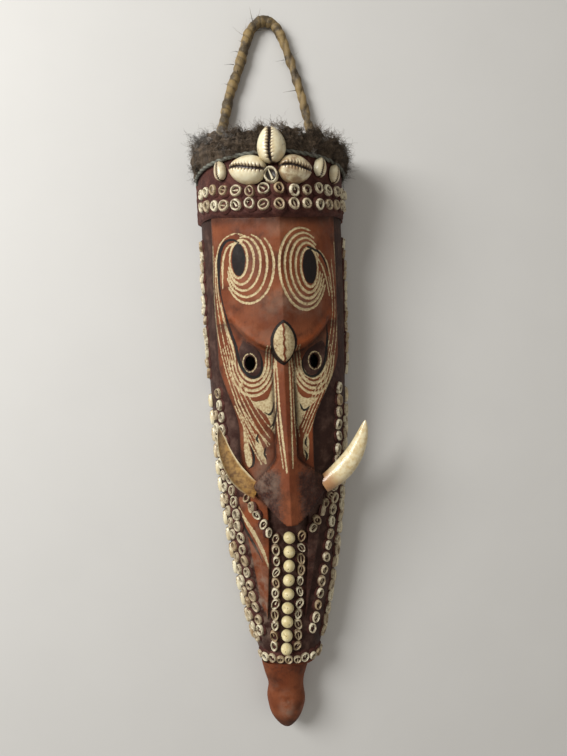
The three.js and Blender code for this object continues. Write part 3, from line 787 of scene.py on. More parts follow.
def distance_to_patch(places, corners):
    """Signed distance to a filled outline with rounded corners."""
    line = curve_through([*corners, corners[0]], 12 * len(corners))
    edge = distance_to_strokes(places, [(line, np.zeros(len(line)))])
    inside = np.zeros(len(places), bool)
    for (x0, y0), (x1, y1) in zip(line[:-1], line[1:]):
        crosses = (y0 > places[:, 1]) != (y1 > places[:, 1])
        at = x0 + (places[:, 1] - y0) * (x1 - x0) / (y1 - y0 + 1e-12)
        inside ^= crosses & (places[:, 0] < at)
    return np.where(inside, -edge, edge)


def ring_arc(middle, reach, start_deg, end_deg, half_width, wobble=0.0):
    """Part of an ellipse, counted counter-clockwise from the +X side."""
    angles = np.radians(np.linspace(start_deg, end_deg, 14))
    swell = 1 + wobble * np.sin(3 * angles)
    across = middle[0] + reach[0] * swell * np.cos(angles)
    along = middle[1] + reach[1] * swell * np.sin(angles)
    return stroke(np.stack([across, along], 1), half_width, 60)


def big_eye_rings():
    """Five rings round each painted eye that crowd together on its outer side."""
    rings = []
    widths = [0.5, 0.85, 0.7, 0.9, 0.5]
    spans = [(-180, 180), (-172, 112), (-168, 98), (-160, 72), (-150, 48)]
    for k, (start, end) in enumerate(spans):
        middle = (LEFT_EYE[0] + 1.8 * k, LEFT_EYE[1] - 1.5 * k)
        rings.append(ring_arc(middle, (6.4 + 2.85 * k, 13 + 3.3 * k), start, end, widths, 0.012))
    widths = [0.6, 0.95, 0.8, 1.0, 0.6]
    spans = [(0, 360), (30, 352), (52, 350), (62, 345), (72, 338)]
    for k, (start, end) in enumerate(spans):
        middle = (21.7 - 1.1 * k, 127.8 - 0.3 * k)
        rings.append(ring_arc(middle, (6.8 + 3.0 * k, 14.3 + 3.9 * k), start, end, widths, 0.012))
    return rings


def family(first, last, count, half_width, late=0):
    """Lines that pass evenly from one to another; every other one may start some points later."""
    a, b = np.array(first, float), np.array(last, float)
    lines = [mix(a, b, share) for share in np.linspace(0, 1, count)]
    return [stroke(line[late * (k % 2) :], half_width, 48) for k, line in enumerate(lines)]


def cheek_lines():
    """The bundles that run down the plate's edges, under the small eyes and in to the nose."""
    lines = family(
        [
            (-48.8, 150), (-49.5, 118), (-48.9, 92), (-46.2, 70), (-42, 50),
            (-37.5, 34), (-32, 16), (-25.5, 0), (-18.5, -16),
        ],
        [
            (-46.4, 132), (-46.2, 112), (-43.2, 92), (-39.8, 74), (-35.8, 56),
            (-30.5, 42), (-23.5, 28), (-16.5, 16), (-9.5, 7),
        ],
        5,
        [0.3, 0.3, 0.34, 0.4, 0.36],
        3,
    )
    lines += family(
        [(-37.5, 27), (-31.5, 11), (-26, -4), (-19, -18)],
        [(-35, 31), (-28, 18), (-20, 6), (-12.5, -3)],
        3,
        [0.4, 0.5],
    )
    lines += family(
        [(44.4, 150), (45.6, 112), (44.6, 86), (41, 62), (36.2, 45), (30, 30), (22, 14), (15, -2)],
        [(37.5, 122), (40.4, 106), (39.6, 88), (36.6, 74), (32.4, 56), (26.6, 42), (18.6, 27), (11.6, 12)],
        5,
        [0.3, 0.3, 0.34, 0.38],
        3,
    )
    for side, middle in ((-1, -23.3), (1, 23.2)):
        for k in range(4):
            reach = (10.2 + 2.3 * k, 14.6 + 3.9 * k)
            start, end = (176, 362) if side < 0 else (178, 364)
            widths = [0.4, 0.65, 1.05, 1.2 - 0.15 * k, 0.45]
            arc = ring_arc((middle, 60.5), reach, start, end, widths if side < 0 else widths[::-1])
            lines.append(arc)
            inner_x = middle - side * reach[0]
            rise = [(inner_x, 60.5), (inner_x - side * 0.5, 66), (inner_x - side * 1.2, 71)]
            lines.append(stroke(rise, [0.5, 0.3], 10))
    return lines


def nose_lines():
    return [
        stroke([(-5.4, 60), (-5.0, 44), (-4.6, 22), (-3.4, 2), (-1.4, -24)], [0.5, 0.55, 0.8, 0.5]),
        stroke([(-7.6, 58), (-7.0, 36), (-6.6, 14), (-5.2, -6), (-4.0, -20)], [0.4, 0.45, 0.35]),
        stroke([(4.4, 60), (4.2, 36), (3.8, 10), (3.2, -20)], [0.5, 0.6, 0.45]),
        stroke([(6.8, 58), (6.4, 34), (6.4, 12), (7.4, -8)], [0.35, 0.4, 0.3]),
        stroke([(9.0, 56), (8.6, 36), (9.2, 18), (10.4, 2)], [0.35, 0.4, 0.3]),
    ]


def eye_lines():
    """The cream lines beside the black ones, the rings of the cut eyes, and the jaw's stripe."""
    inside_tail = [(-27, 148.5), (-33, 148), (-38, 145.4), (-41.3, 138), (-42.4, 127), (-42.6, 116)]
    outside_tail = [(-24.9, 151.6), (-31, 154.4), (-38, 153.6), (-43.6, 148.6), (-46.4, 139), (-47.4, 126)]
    return [
        stroke(inside_tail, [0.4, 0.8, 0.7, 0.3]),
        stroke(outside_tail, 0.5),
        stroke([(-44.6, 106), (-43, 94), (-40.2, 82), (-37.2, 72), (-35.6, 62)], [0.3, 0.6, 0.9, 0.5]),
        stroke([(30, 141), (35.8, 135), (39, 124), (40.8, 108)], [0.5, 0.6, 0.4]),
        stroke([(26.6, 137), (32, 130), (35.6, 120), (38, 108)], [0.6, 0.7, 0.4]),
        ring_arc((-25.0, EYE_Y + 0.3), (5.0, 6.9), 0, 360, 0.42),
        ring_arc((24.3, EYE_Y + 0.2), (5.0, 6.7), 0, 360, 0.42),
        stroke([(-40, -48), (-34, -61), (-27, -73), (-20.5, -87), (-16, -102)], [0.3, 1.1, 1.6, 1.3, 0.3]),
    ]


def black_lines():
    long_tail = [
        (-29.5, 147.6), (-34, 150.4), (-39, 150.2), (-43, 145), (-44.8, 136), (-45.2, 119), (-43.6, 107),
        (-41.4, 96), (-37.9, 82), (-34.8, 72), (-33.4, 63), (-30.6, 55.4), (-26, 49.4), (-21.4, 48),
        (-17.4, 50.6), (-15.8, 57), (-17, 64.6), (-20.8, 70.4), (-25.6, 74), (-29.4, 76.6),
    ]
    under_right_eye = [
        (35.2, 86), (35, 74), (32.8, 59), (27.4, 49.6), (21.6, 47),
        (16.4, 50), (14.4, 56), (15.6, 62), (19, 66.6),
    ]
    return [
        stroke(long_tail, [0.5, 1.2, 1.4, 1.0, 0.55, 0.4, 0.8, 1.0, 1.2, 1.2, 1.1, 0.9, 0.4, 0.2], 110),
        stroke(under_right_eye, [0.3, 0.9, 1.2, 1.2, 1.2, 0.9, 0.5, 0.2], 60),
        stroke(
            [(21, 142.6), (25.2, 141.4), (31, 138.8), (35.2, 132.6), (37.3, 125.6)],
            [0.8, 0.9, 0.7, 0.2],
        ),
        stroke([(-15.6, 21.6), (-12, 19.6), (-9.2, 23), (-8, 29.5)], [0.3, 0.9, 0.7, 0.2]),
        stroke([(-12, 9.6), (-9.2, 12.6), (-8, 17.8)], [0.3, 0.7, 0.2]),
        stroke([(11.2, 27.6), (13.4, 22.8), (16, 22), (19.6, 25)], [0.2, 0.8, 0.9, 0.2]),
        stroke([(-27.6, -2), (-25, -10), (-25.4, -18), (-29, -21.6)], [0.2, 0.9, 1.1, 0.3]),
        stroke([(-20.6, 5.4), (-22, 1.4), (-20.4, -2)], [0.2, 1.0, 0.3]),
        stroke([(-15.4, -5), (-16.6, -10), (-14.6, -15)], [0.2, 0.9, 0.3]),
        stroke([(16.4, 2), (14.8, -3), (16.2, -7)], [0.3, 1.0, 0.2]),
        stroke([(-6.2, 40), (-6.6, 24), (-8.6, 12), (-13, 2)], [0.1, 0.4, 0.5, 0.1]),
        stroke([(7.6, 34), (8.2, 16), (10.6, 4)], [0.1, 0.45, 0.1]),
        stroke([(13.6, -8), (15.6, -13), (14.4, -18)], [0.2, 1.0, 0.3]),
        stroke([(-38, -60), (-32.6, -71.6), (-26.8, -83), (-20.4, -96)], [0.2, 1.0, 1.1, 0.2]),
    ]


# The dark grounds that the cut eyes lie in
SOCKETS = [
    [
        (-29, 76), (-21, 70), (-17, 64), (-16, 57), (-18, 51),
        (-22, 48.5), (-27, 50), (-31, 56), (-33, 64), (-32, 71),
    ],
    [
        (26, 72), (18, 66.6), (15.4, 61), (14.8, 55), (17, 50.4),
        (21.6, 48), (27, 50.4), (31.6, 58), (33.6, 68), (31, 74),
    ],
]

# The broad cream grounds beside the nose and low on the cheeks
CREAM_PATCHES = [
    [
        (-7.4, 47), (-7.8, 24), (-8.2, 5), (-10.4, 9), (-14.2, 19),
        (-24.5, 29), (-20.5, 30), (-13.2, 31.6), (-9.6, 39),
    ],
    [
        (7.8, 50), (7.6, 28), (8.6, 8), (11.4, 12), (14, 19),
        (19, 24), (25, 30.6), (16, 31), (11, 35), (9.4, 41),
    ],
    [(-31.6, 10), (-28.4, -2), (-26, -16), (-29.4, -20), (-31.6, -10)],
    [(-22.6, 6), (-19.6, 0), (-17, -8), (-15.6, -18), (-20.6, -12), (-23.4, -3)],
    [(15.6, 6), (17.6, -3), (16.4, -16), (13.4, -12), (13, -2)],
]


def dirt_values(x, y):
    """Painted shade under the brow and the band, beside the nose and along the plate's edges, and a darker
    patch low on the forehead.
    """
    plate = plate_half(x, y)
    on_plate = within(plate - np.abs(x), 0.5) * (y > WING_WIDE_Y)
    below_brow = brow_edge(x) - y
    broad, narrow = smooth(1 - np.abs(below_brow - 3) / 6), smooth(1 - np.abs(below_brow - 1.4) / 2.6)
    brow = np.maximum(0.7 * broad, narrow) * on_plate * (1 - 0.3 * np.abs(x) / plate)
    beside_nose = smooth(1 - (np.abs(x) - wing_half(x, y)) / 3.2) * (np.abs(x) > wing_half(x, y) - 0.5)
    beside_nose = beside_nose * (y < BROW_Y) * (y > WING_TIP_Y)
    under_band = smooth(1 - (band_edge(x) - y) / 9) * (y < band_edge(x) + 1)
    at_edge = smooth(1 - np.abs(plate - np.abs(x)) / 2.2) * (y > WING_WIDE_Y)
    low_brow = 0.3 * smooth(1 - np.hypot((x - 6) / 34, (y - 90) / 16))
    dirt = np.maximum.reduce([0.95 * brow, 0.8 * beside_nose, 0.75 * under_band, 0.55 * at_edge, low_brow])
    return np.where(oval_reach(x, y) < 1.0, 0.12, dirt)


def left_jaw(x, y):
    """The painted cheek between the chin and the rim rows, at the left."""
    away = chin_middle(y) - x
    up = clamp01((y - JAW_LOW_Y) / (JAW_HIGH_Y - JAW_LOW_Y))
    jaw = within(away - chin_half(y), 2) * within(chin_half(y) + mix(5.5, 26, up) - away, 4)
    return jaw * smooth((WING_WIDE_Y - 4 - y) / 8) * smooth((y - JAW_LOW_Y + 6) / 24)


def orange_values(x, y):
    """Where the ochre is brighter: a painted highlight along the brow's edge, and the ochre paint on the
    left jaw and low on the plate.
    """
    above = y - brow_edge(x)
    brow = smooth(1 - np.abs(above - 4) / 7) * (np.abs(x) < plate_half(x, y) - 3)
    low_right = smooth(1 - np.hypot((x - 17) / 9, (y - 4) / 20)) * (x > wing_half(x, y))
    return np.maximum.reduce([0.8 * brow, 0.35 * left_jaw(x, y), 0.6 * low_right])


def dust_values(x, y):
    """Where pale grey dust lies, low on the cheek and on the left nose wing, and a painted sheen low on the
    brow.
    """
    cheek = smooth(1.2 - np.hypot((x + 27) / 14, (y + 125) / 56)) * (x < chin_middle(y) - chin_half(y) + 2)
    wing = 0.6 * smooth(1.1 - np.hypot((x + 17) / 13, (y + 30) / 24))
    forehead = 0.35 * smooth(1.1 - np.hypot((x - 4) / 36, (y - 98) / 13)) * (y > brow_edge(x) + 3)
    return np.maximum.reduce([cheek, wing, forehead])


def paint_values(x, y):
    """Cream, black and dark paste at places on the carved front."""
    places = np.stack([x, y], 1)
    cream = distance_to_strokes(places, big_eye_rings() + cheek_lines() + nose_lines() + eye_lines())
    for corners in CREAM_PATCHES:
        cream = np.minimum(cream, distance_to_patch(places, corners))
    oval = oval_reach(x, y)
    red_line = 0.8 - np.abs(x + 0.3 + 0.4 * np.sin(y * 0.9))
    cream = np.where(oval < 0.98, np.maximum((oval - 0.84) * 5, red_line), cream)
    black = distance_to_strokes(places, black_lines())
    black = np.minimum(black, np.abs(oval - 0.98) * 5 - 0.75)
    for (middle_x, middle_y), (wide, high) in ((LEFT_EYE, (4.9, 11.9)), (RIGHT_EYE, (5.6, 12.8))):
        away = np.hypot((x - middle_x) / wide, (y - middle_y) / high)
        black = np.minimum(black, (away - 1) * wide)
    wing = (y < WING_TOP_Y + 2) & (nose_share(x, y) > 0.05)
    cream = np.where(wing & (y < WING_TOP_Y - 12), 3.0, cream)
    cream = np.where(y > band_edge(x) - 3, 3.0, cream)
    outside = smooth((np.abs(x) - plate_half(x, y) + 1.2) / 1.4)
    jaw = np.maximum(jaw_share(x, y) * np.where(x > 0, 0.35, 1), left_jaw(x, y))
    paste = np.where(y > WING_WIDE_Y, outside, 1 - jaw)
    down = clamp01((WING_TOP_Y - y) / (WING_TOP_Y - WING_TIP_Y))
    off_ridge = smooth((np.abs(x - 0.5) - 2.5 * (1 - down)) / mix(6, 14, down))
    wing_paste = mix(0.3, 0.62, off_ridge) * smooth((WING_TOP_Y + 6 - y) / 24)
    paste = np.where(wing, wing_paste, paste)
    for corners in SOCKETS:
        socket = smooth(0.5 - distance_to_patch(places, corners) / 1.2)
        paste = np.maximum(paste, 0.8 * socket)
    paste = np.where(y < COLLAR_Y + 3, 0.25, paste)
    return cream, black, paste


# The wooden body


def section_shares(count, side_density=1.0):
    """Places across the arch, evenly spaced along its curve or sparser at the sides, count to each half."""
    share = np.sin(np.linspace(0, math.pi / 2, 4000))
    over = np.sqrt(1 - share**ARCH_POWER)
    lengths = np.hypot(np.diff(share) * HALF_WIDTH, np.diff(over) * CROWN)
    lengths = np.where(share[1:] > 0.88, lengths * side_density, lengths)
    run = np.concatenate([[0], np.cumsum(lengths)])
    half = np.interp(np.linspace(0, run[-1], count), run, share)
    return np.concatenate([-half[:0:-1], half])


def hand_worked(x, y):
    """The small unevenness of a carved surface."""
    waves = np.sin(x * 0.23 + y * 0.11) * np.sin(y * 0.17 - x * 0.09 + 1.3)
    return 0.22 * waves + 0.1 * np.sin(x * 0.61 + 2) * np.sin(y * 0.47)


HOLLOW_LOW_Y, HOLLOW_HIGH_Y = station(0.09), TOP_Y - END_WALL


def hollow_size(y):
    """Half width and height of the hollow, rounded at both of its ends."""
    close = clamp01(np.minimum((y - HOLLOW_LOW_Y) / 30, (HOLLOW_HIGH_Y - y) / 14 + 0.8))
    share = np.maximum(np.sqrt(1 - (1 - close) ** 2), 0.12)
    return (half_width(y) - SIDE_WALL) * share, (crown(y) - FRONT_WALL) * share


def body_rows():
    """The rows' heights, close together on the painted face, and which of them are hollow."""
    solid_low = [*np.linspace(COLLAR_Y, HOLLOW_LOW_Y, 22, endpoint=False), HOLLOW_LOW_Y]
    hollow = [
        *np.linspace(HOLLOW_LOW_Y, WING_TIP_Y, 52, endpoint=False),
        *np.linspace(WING_TIP_Y, FACE_LOW_Y, 32, endpoint=False),
        *np.linspace(FACE_LOW_Y, FACE_HIGH_Y, 206, endpoint=False),
        *np.linspace(FACE_HIGH_Y, HOLLOW_HIGH_Y, 30),
    ]
    solid_high = np.linspace(HOLLOW_HIGH_Y, TOP_Y, 7)
    rows = np.array([*solid_low, *hollow, *solid_high])
    is_hollow = np.arange(len(rows)) - len(solid_low)
    return rows, (is_hollow >= 0) & (is_hollow < len(hollow))


def body_blank():
    """The carved front, the flat rim of the back and the hollow behind the face, as one skin."""
    shares = section_shares(116, 0.4)
    rows, is_hollow = body_rows()
    x = shares[None, :] * half_width(rows)[:, None]
    y = np.repeat(rows[:, None], len(shares), 1)
    z = front(x, y) + hand_worked(x, y) * (np.abs(shares) < 0.97)
    z[:, [0, -1]] = 0
    inner = np.sin(np.linspace(math.pi / 2, -math.pi / 2, 41))
    wide, high = hollow_size(rows)
    inner_x = inner[None, :] * wide[:, None]
    inner_y = np.repeat(rows[:, None], len(inner), 1)
    inner_z = high[:, None] * np.sqrt(1 - np.abs(inner) ** ARCH_POWER)[None, :]
    inner_z += 0.3 * np.sin(inner_y * 0.45 + 4 * inner[None, :]) * (np.abs(inner) < 0.99)[None, :]
    inner_z *= is_hollow[:, None]
    rings = np.concatenate([np.stack([x, y, z], 2), np.stack([inner_x, inner_y, inner_z], 2)], 1)
    tall, count = rings.shape[:2]
    faces = grid_faces(tall, count)
    faces.append(list(range(count - 1, -1, -1)))
    faces.append([(tall - 1) * count + i for i in range(count)])
    return new_object("mask_wood", rings.reshape(-1, 3), faces)


def cutter(rings):
    """A closed lofted body used to cut the blank."""
    count = len(rings[0])
    verts = [p for ring in rings for p in ring]
    faces = grid_faces(len(rings), count)
    faces.append(tuple(range(count - 1, -1, -1)))
    faces.append(tuple(len(verts) - count + i for i in range(count)))
    piece = new_object("cutter", verts, faces)
    bpy.context.view_layer.objects.active = piece
    bpy.ops.object.select_all(action="DESELECT")
    piece.select_set(True)
    bpy.ops.object.mode_set(mode="EDIT")
    bpy.ops.mesh.select_all(action="SELECT")
    bpy.ops.mesh.normals_make_consistent(inside=False)
    bpy.ops.object.mode_set(mode="OBJECT")
    return piece


def round_hole(x, y, z, reach, axis, length):
    """The rings of an elliptical cutter that runs along the given axis."""
    rings = []
    for end in (-length / 2, length / 2):
        ring = []
        for angle in angles_round(40):
            u, v = reach[0] * math.cos(angle), reach[1] * math.sin(angle)
            ring.append((x + u, y + v, z + end) if axis == "z" else (x + u, y + end, z + v))
        rings.append(ring)
    return rings


def cut(blank, rings):
    tool = cutter(rings)
    modifier = blank.modifiers.new("cut", "BOOLEAN")
    modifier.operation = "DIFFERENCE"
    modifier.solver = "MANIFOLD"
    modifier.object = tool
    bpy.context.view_layer.objects.active = blank
    bpy.ops.object.modifier_apply(modifier=modifier.name)
    bpy.data.objects.remove(tool)


def snout_rings():
    """The small head below the collar, with a flatter facet along its front."""
    rings = []
    for t in np.linspace(-0.03, 1, 70):
        y = COLLAR_Y - t * SNOUT_LENGTH
        neck = 1 - float(smooth(t / 0.36))
        swell = 0.93 + 0.07 * float(smooth((t - 0.36) / 0.18))
        tip = max(0.0, 1 - float(clamp01((t - 0.5) / 0.502)) ** 2.1) ** 0.68
        ring = []
        for angle in angles_round(72):
            facet = 1 - 0.055 * max(0.0, math.cos(2 * (angle - 1.75))) * float(smooth((t - 0.2) / 0.3))
            ripple = 1 + 0.012 * math.sin(5 * angle + t * 9) + 0.01 * math.sin(23 * t + angle)
            across = SNOUT_HALF_WIDTH * (swell + 0.28 * neck) * tip * math.cos(angle)
            up = SNOUT_HALF_DEPTH * (swell + 0.08 * neck) * tip * math.sin(angle)
            middle = float(chin_middle(y))
            ring.append((middle + across * facet * ripple, y, SNOUT_MIDDLE_Z + up * facet * ripple))
        rings.append(ring)
    return rings


def mask_wood():
    blank = body_blank()
    loop_radius = LOOP_DIAMETER / 2 + CLEARANCE
    for side in (-1, 1):
        cut(blank, round_hole(side * EYE_X, EYE_Y, CROWN, (EYE_WIDTH / 2, EYE_HEIGHT / 2), "z", 4 * CROWN))
        middle = (side * LOOP_HOLE_X, TOP_Y - END_WALL / 2, LOOP_HOLE_Z)
        cut(blank, round_hole(*middle, (loop_radius, loop_radius), "y", 3 * END_WALL))
    points = np.empty(len(blank.data.vertices) * 3)
    blank.data.vertices.foreach_get("co", points)
    x, y, z = points.reshape(-1, 3).T / MM
    depth = front(x, y) - z
    bare = smooth((depth - 1.5) / 1.5) * (np.abs(x) < half_width(y) - 1)
    bare = np.maximum(bare, (y > TOP_Y - 1.5) * 1.0)
    set_attribute(blank, "bare", bare)
    cream, black, paste = paint_values(x, y)
    for name, values, plain in (
        ("cream", cream, UNPAINTED),
        ("black", black, UNPAINTED),
        ("paste", paste, 0),
        ("dirt", dirt_values(x, y), 0),
        ("orange", orange_values(x, y), 0),
        ("dust", dust_values(x, y), 0),
    ):
        set_attribute(blank, name, np.where(bare > 0.5, plain, values))
    settle(blank, PAINTED_WOOD, ["mask_body"])


def snout():
    """The snout's wood: darker at its neck and tip, with a pale worn front."""
    rings = snout_rings()
    x, y, z = np.array(rings).reshape(-1, 3).T
    neck = 0.42 * smooth((y - COLLAR_Y + 14) / 10)
    worn = smooth(1 - np.hypot((x + 6) / 9, (y - COLLAR_Y + 34) / 20)) * (z > SNOUT_MIDDLE_Z)
    tip = 0.6 * smooth((COLLAR_Y - 38 - y) / 10)
    piece = Builder("cream", "black", "paste", "bare", "dirt", "orange", "dust")
    piece.grid(rings, cream=UNPAINTED, black=UNPAINTED, paste=neck, dirt=tip, orange=worn, dust=0.75 * worn)
    piece.build("snout", PAINTED_WOOD, "painted_wood")


mask_wood()
snout()


# Shells


def stand(point, normal, turn):
    """A frame on a surface: +Z along the normal, and +Y at turn from the mask's length."""
    along = Vector((-math.sin(turn), math.cos(turn), 0))
    along = (along - normal * along.dot(normal)).normalized()
    return Matrix((along.cross(normal), along, normal)).transposed(), point


def place_points(points, pose):
    turn, origin = pose
    return [turn @ Vector(p) + origin for p in points]


def cut_shell_points(length, width, height, seed):
    """A shell ground open: a thick ring round a dark hollow with the shell's core across it."""
    local = random.Random(seed)
    lean = (local.uniform(-0.1, 0.1), local.uniform(-0.14, 0.06))
    mouth = local.uniform(0.58, 0.76)
    crest = mix(mouth, 1.0, 0.45)
    profile = [(1.0, 0.0), (0.99, 0.35), (0.94, 0.75), (crest, 1.0), (mouth + 0.04, 0.92), (mouth, 0.62)]
    profile += [(mouth * 0.85, 0.25), (0.02, 0.18)]
    sides = 18
    rough = [1 + local.uniform(-0.05, 0.05) for _ in range(sides)]
    points, hollow = [], []
    for radius, up in profile:
        inward = 1 - radius
        for k, angle in enumerate(angles_round(sides)):
            egg = 1 + 0.1 * math.sin(angle)
            r = radius * (rough[k] if radius < 0.8 else 1)
            x = (r * math.cos(angle) * egg + lean[0] * inward) * width / 2
            y = (r * math.sin(angle) + lean[1] * inward) * length / 2
            points.append((x, y, up * height * (1 + 0.1 * math.sin(angle + seed))))
            hollow.append(1.0 if radius < mouth * 0.95 else 0.0)
    faces = grid_faces(len(profile), sides)
    core_start = len(points)
    tilt = local.uniform(-0.3, 0.9)
    span = local.uniform(0.3, 1.0)
    for i in range(6):
        t = i / 5 * 2 - 1
        for k in range(5):
            angle = math.pi * k / 4
            reach = mouth * (1.02 * t * span + 1 - span)
            thick = 0.09 + 0.05 * (1 - t)
            x = (reach * math.sin(tilt) + thick * math.cos(angle) * math.cos(tilt)) * width / 2
            y = (reach * math.cos(tilt) - thick * math.cos(angle) * math.sin(tilt)) * length / 2
            points.append((x, y, height * (0.28 + 0.42 * math.sin(angle))))
            hollow.append(0.15)
    faces += [tuple(core_start + i for i in face) for face in grid_faces(6, 5, closed=False)]
    return points, faces, hollow


def places_along(place, count, surface=plain_front, grow=0.0):
    """Evenly spaced seats along a path in plan, and the distance between them."""
    fine = [seat(*place(share), surface, grow) for share in np.linspace(0, 1, 240)]
    points = np.array([p for p, _ in fine])
    run = np.concatenate([[0], np.cumsum(np.linalg.norm(np.diff(points, axis=0), axis=1))])
    result = []
    for distance in (np.arange(count) + 0.5) * run[-1] / count:
        i = int(np.searchsorted(run, distance))
        result.append(fine[min(i, len(fine) - 1)])
    return result, run[-1] / count


def paste_mound(pose, breadth):
    """The rings of a low mound of paste that one shell is pressed into."""
    rings = []
    for share, height in ((1.0, -0.9), (0.86, 0.5), (0.55, 0.85), (0.02, 0.7)):
        wide, long = 0.74 * breadth * share, 0.82 * breadth * share
        ring = [(wide * math.cos(a), long * math.sin(a), height) for a in angles_round(16)]
        rings.append([Vector((p.x, p.y, max(p.z, ABOVE_FLOOR))) for p in place_points(ring, pose)])
    return rings


def shell_row(name, place, count, turn, nodes, surface=plain_front, grow=0.0, breadth=SHELL_WIDTH):
    """A row of cut shells, each a little different, pressed into a strip of paste."""
    seats, pitch = places_along(place, count, surface, grow)
    shells = Builder("hollow", "tone")
    base = Builder()
    for i, (point, normal) in enumerate(seats):
        local = random.Random(f"{name}{i}")
        size = local.uniform(0.9, 1.08)
        slip = Vector((local.uniform(-0.5, 0.5), local.uniform(-0.5, 0.5), 0))
        lean = (normal + Vector((local.uniform(-0.16, 0.16), local.uniform(-0.16, 0.16), 0))).normalized()
        pose = stand(point + normal * SEAT_RISE + slip, lean, turn(i) + local.uniform(-0.35, 0.35))
        along_row = abs(math.cos(turn(i))) > 0.7
        length = (min(SHELL_LENGTH, pitch * 1.12) if along_row else SHELL_LENGTH) * size
        seed = local.randrange(9999)
        points, faces, hollow = cut_shell_points(length, breadth * size, SHELL_HEIGHT, seed)
        shells.add(place_points(points, pose), faces, hollow=hollow, tone=local.random() ** 1.6)
        base.grid(paste_mound(pose, breadth))
    base.build(name + "_paste", DARK_PASTE, "dark_paste")
    return shells.build(name, CUT_SHELL, "cut_shell", nodes)


def band_place(above):
    reach = 0.955 * HALF_WIDTH

    def place(share):
        x = mix(-reach, reach, share)
        return x, band_edge(x) + above + 0.9 * math.sin(share * 19 + above)

    return place


def rim_place(side, start, end, high, low, bow=1.0):
    def place(share):
        y = mix(high, low, share)
        return side * mix(start, end, share**bow) * half_width(y), y

    return place


def chin_place(side):
    def place(share):
        y = mix(WING_TIP_Y - 8, station(0.035), share)
        return chin_middle(y) + side * mix(9.8, 8.8, share), y

    return place


def collar_place(share):
    y = COLLAR_Y + SHELL_LENGTH * 0.8
    return mix(-0.93, 0.93, share) * half_width(y), y


def band_turn(i):
    """The band's shells stand across their row, each a little its own way."""
    return 1.1 + 0.6 * math.sin(i * 2.3)


def all_shell_rows():
    for name, above in (("upper", SHELL_LENGTH / 2 + 14), ("lower", SHELL_LENGTH / 2 + 3.5)):
        node = f"band_shells_{name}"
        shell_row(node + "_cut", band_place(above), 15, band_turn, [node], cover, BAND_GROW,
                  SHELL_LENGTH * 0.9)
    for name, side, inner, bow in (("left", -1, (0.87, 0.72), 1), ("right", 1, (0.8, 0.5), 2.2)):
        rows = [
            ("upper", rim_place(side, 0.985, 0.985, BAND_LOW_Y - 3, 48), 13, SHELL_WIDTH),
            ("middle", rim_place(side, 0.935, 0.87, 24, -166), 20, SHELL_WIDTH),
            ("inner", rim_place(side, *inner, 42, -158, bow), 21, SHELL_WIDTH * 0.95),
        ]
        for row, place, count, breadth in rows:
            node = f"rim_shells_{name}_{row}"
            shell_row(node + "_cut", place, count, lambda i: 0.3 * math.sin(i * 1.9), [node],
                      breadth=breadth)
        shell_row(f"chin_shells_{name}_cut", chin_place(side), 11, lambda i: 0.25 * math.sin(i * 1.7),
                  [f"chin_shells_{name}"], breadth=SHELL_WIDTH * 0.85)
    for name, corners in (
        ("left", [(-31.5, -29), (-32.5, -38), (-29, -47.5), (-24.5, -56), (-19.5, -65), (-14.8, -74)]),
        ("right", [(37.5, -36), (34.5, -46), (28, -55.5), (22, -64), (16.5, -73)]),
    ):
        edge = curve_through(corners, 60)

        def edge_place(share, edge=edge):
            return tuple(edge[int(round(share * 59))])

        shell_row(f"nose_shells_{name}", edge_place, len(corners) + 1, lambda i: 0.6 * math.sin(i * 2.1),
                  [], breadth=SHELL_WIDTH * 0.85)
    shell_row("collar_shells_cut", collar_place, 10, lambda i: 0.2 * math.sin(i), ["collar_shells"])


all_shell_rows()


def cowrie_points(length, width, height, rows=44, columns=40, teeth=11):
    """A cowrie from its slit side: two rounded lips with teeth on each side of a curved slit."""
    points, slit = [], []
    for r in range(rows + 1):
        t = -1 + 2 * r / rows
        egg = math.sqrt(max(0.0, 1 - t * t)) * (1 - 0.12 * t)
        bend = 0.07 * math.sin(t * 2.6)
        for c in range(columns + 1):
            s = math.sin((-1 + 2 * c / columns) * math.pi / 2)
            across = s * egg
            away = abs(across - bend)
            dome = math.sqrt(max(0.0, 1 - abs(s) ** 2.4)) * math.sqrt(egg)
            lip = math.exp(-((away / 0.1) ** 2))
            tooth = math.cos(t * teeth * math.pi) * math.exp(-(((away - 0.2) / 0.14) ** 2))
            up = height * (dome - 0.36 * lip * min(1.0, egg * 1.6)) + 0.45 * tooth * egg
            points.append((across * width / 2, t * length / 2, max(up, 0)))
            gap = max(0.0, -math.cos(t * teeth * math.pi))
            slit.append(lip + 0.75 * gap * math.exp(-(((away - 0.18) / 0.12) ** 2)))
    return points, grid_faces(rows + 1, columns + 1, closed=False), slit


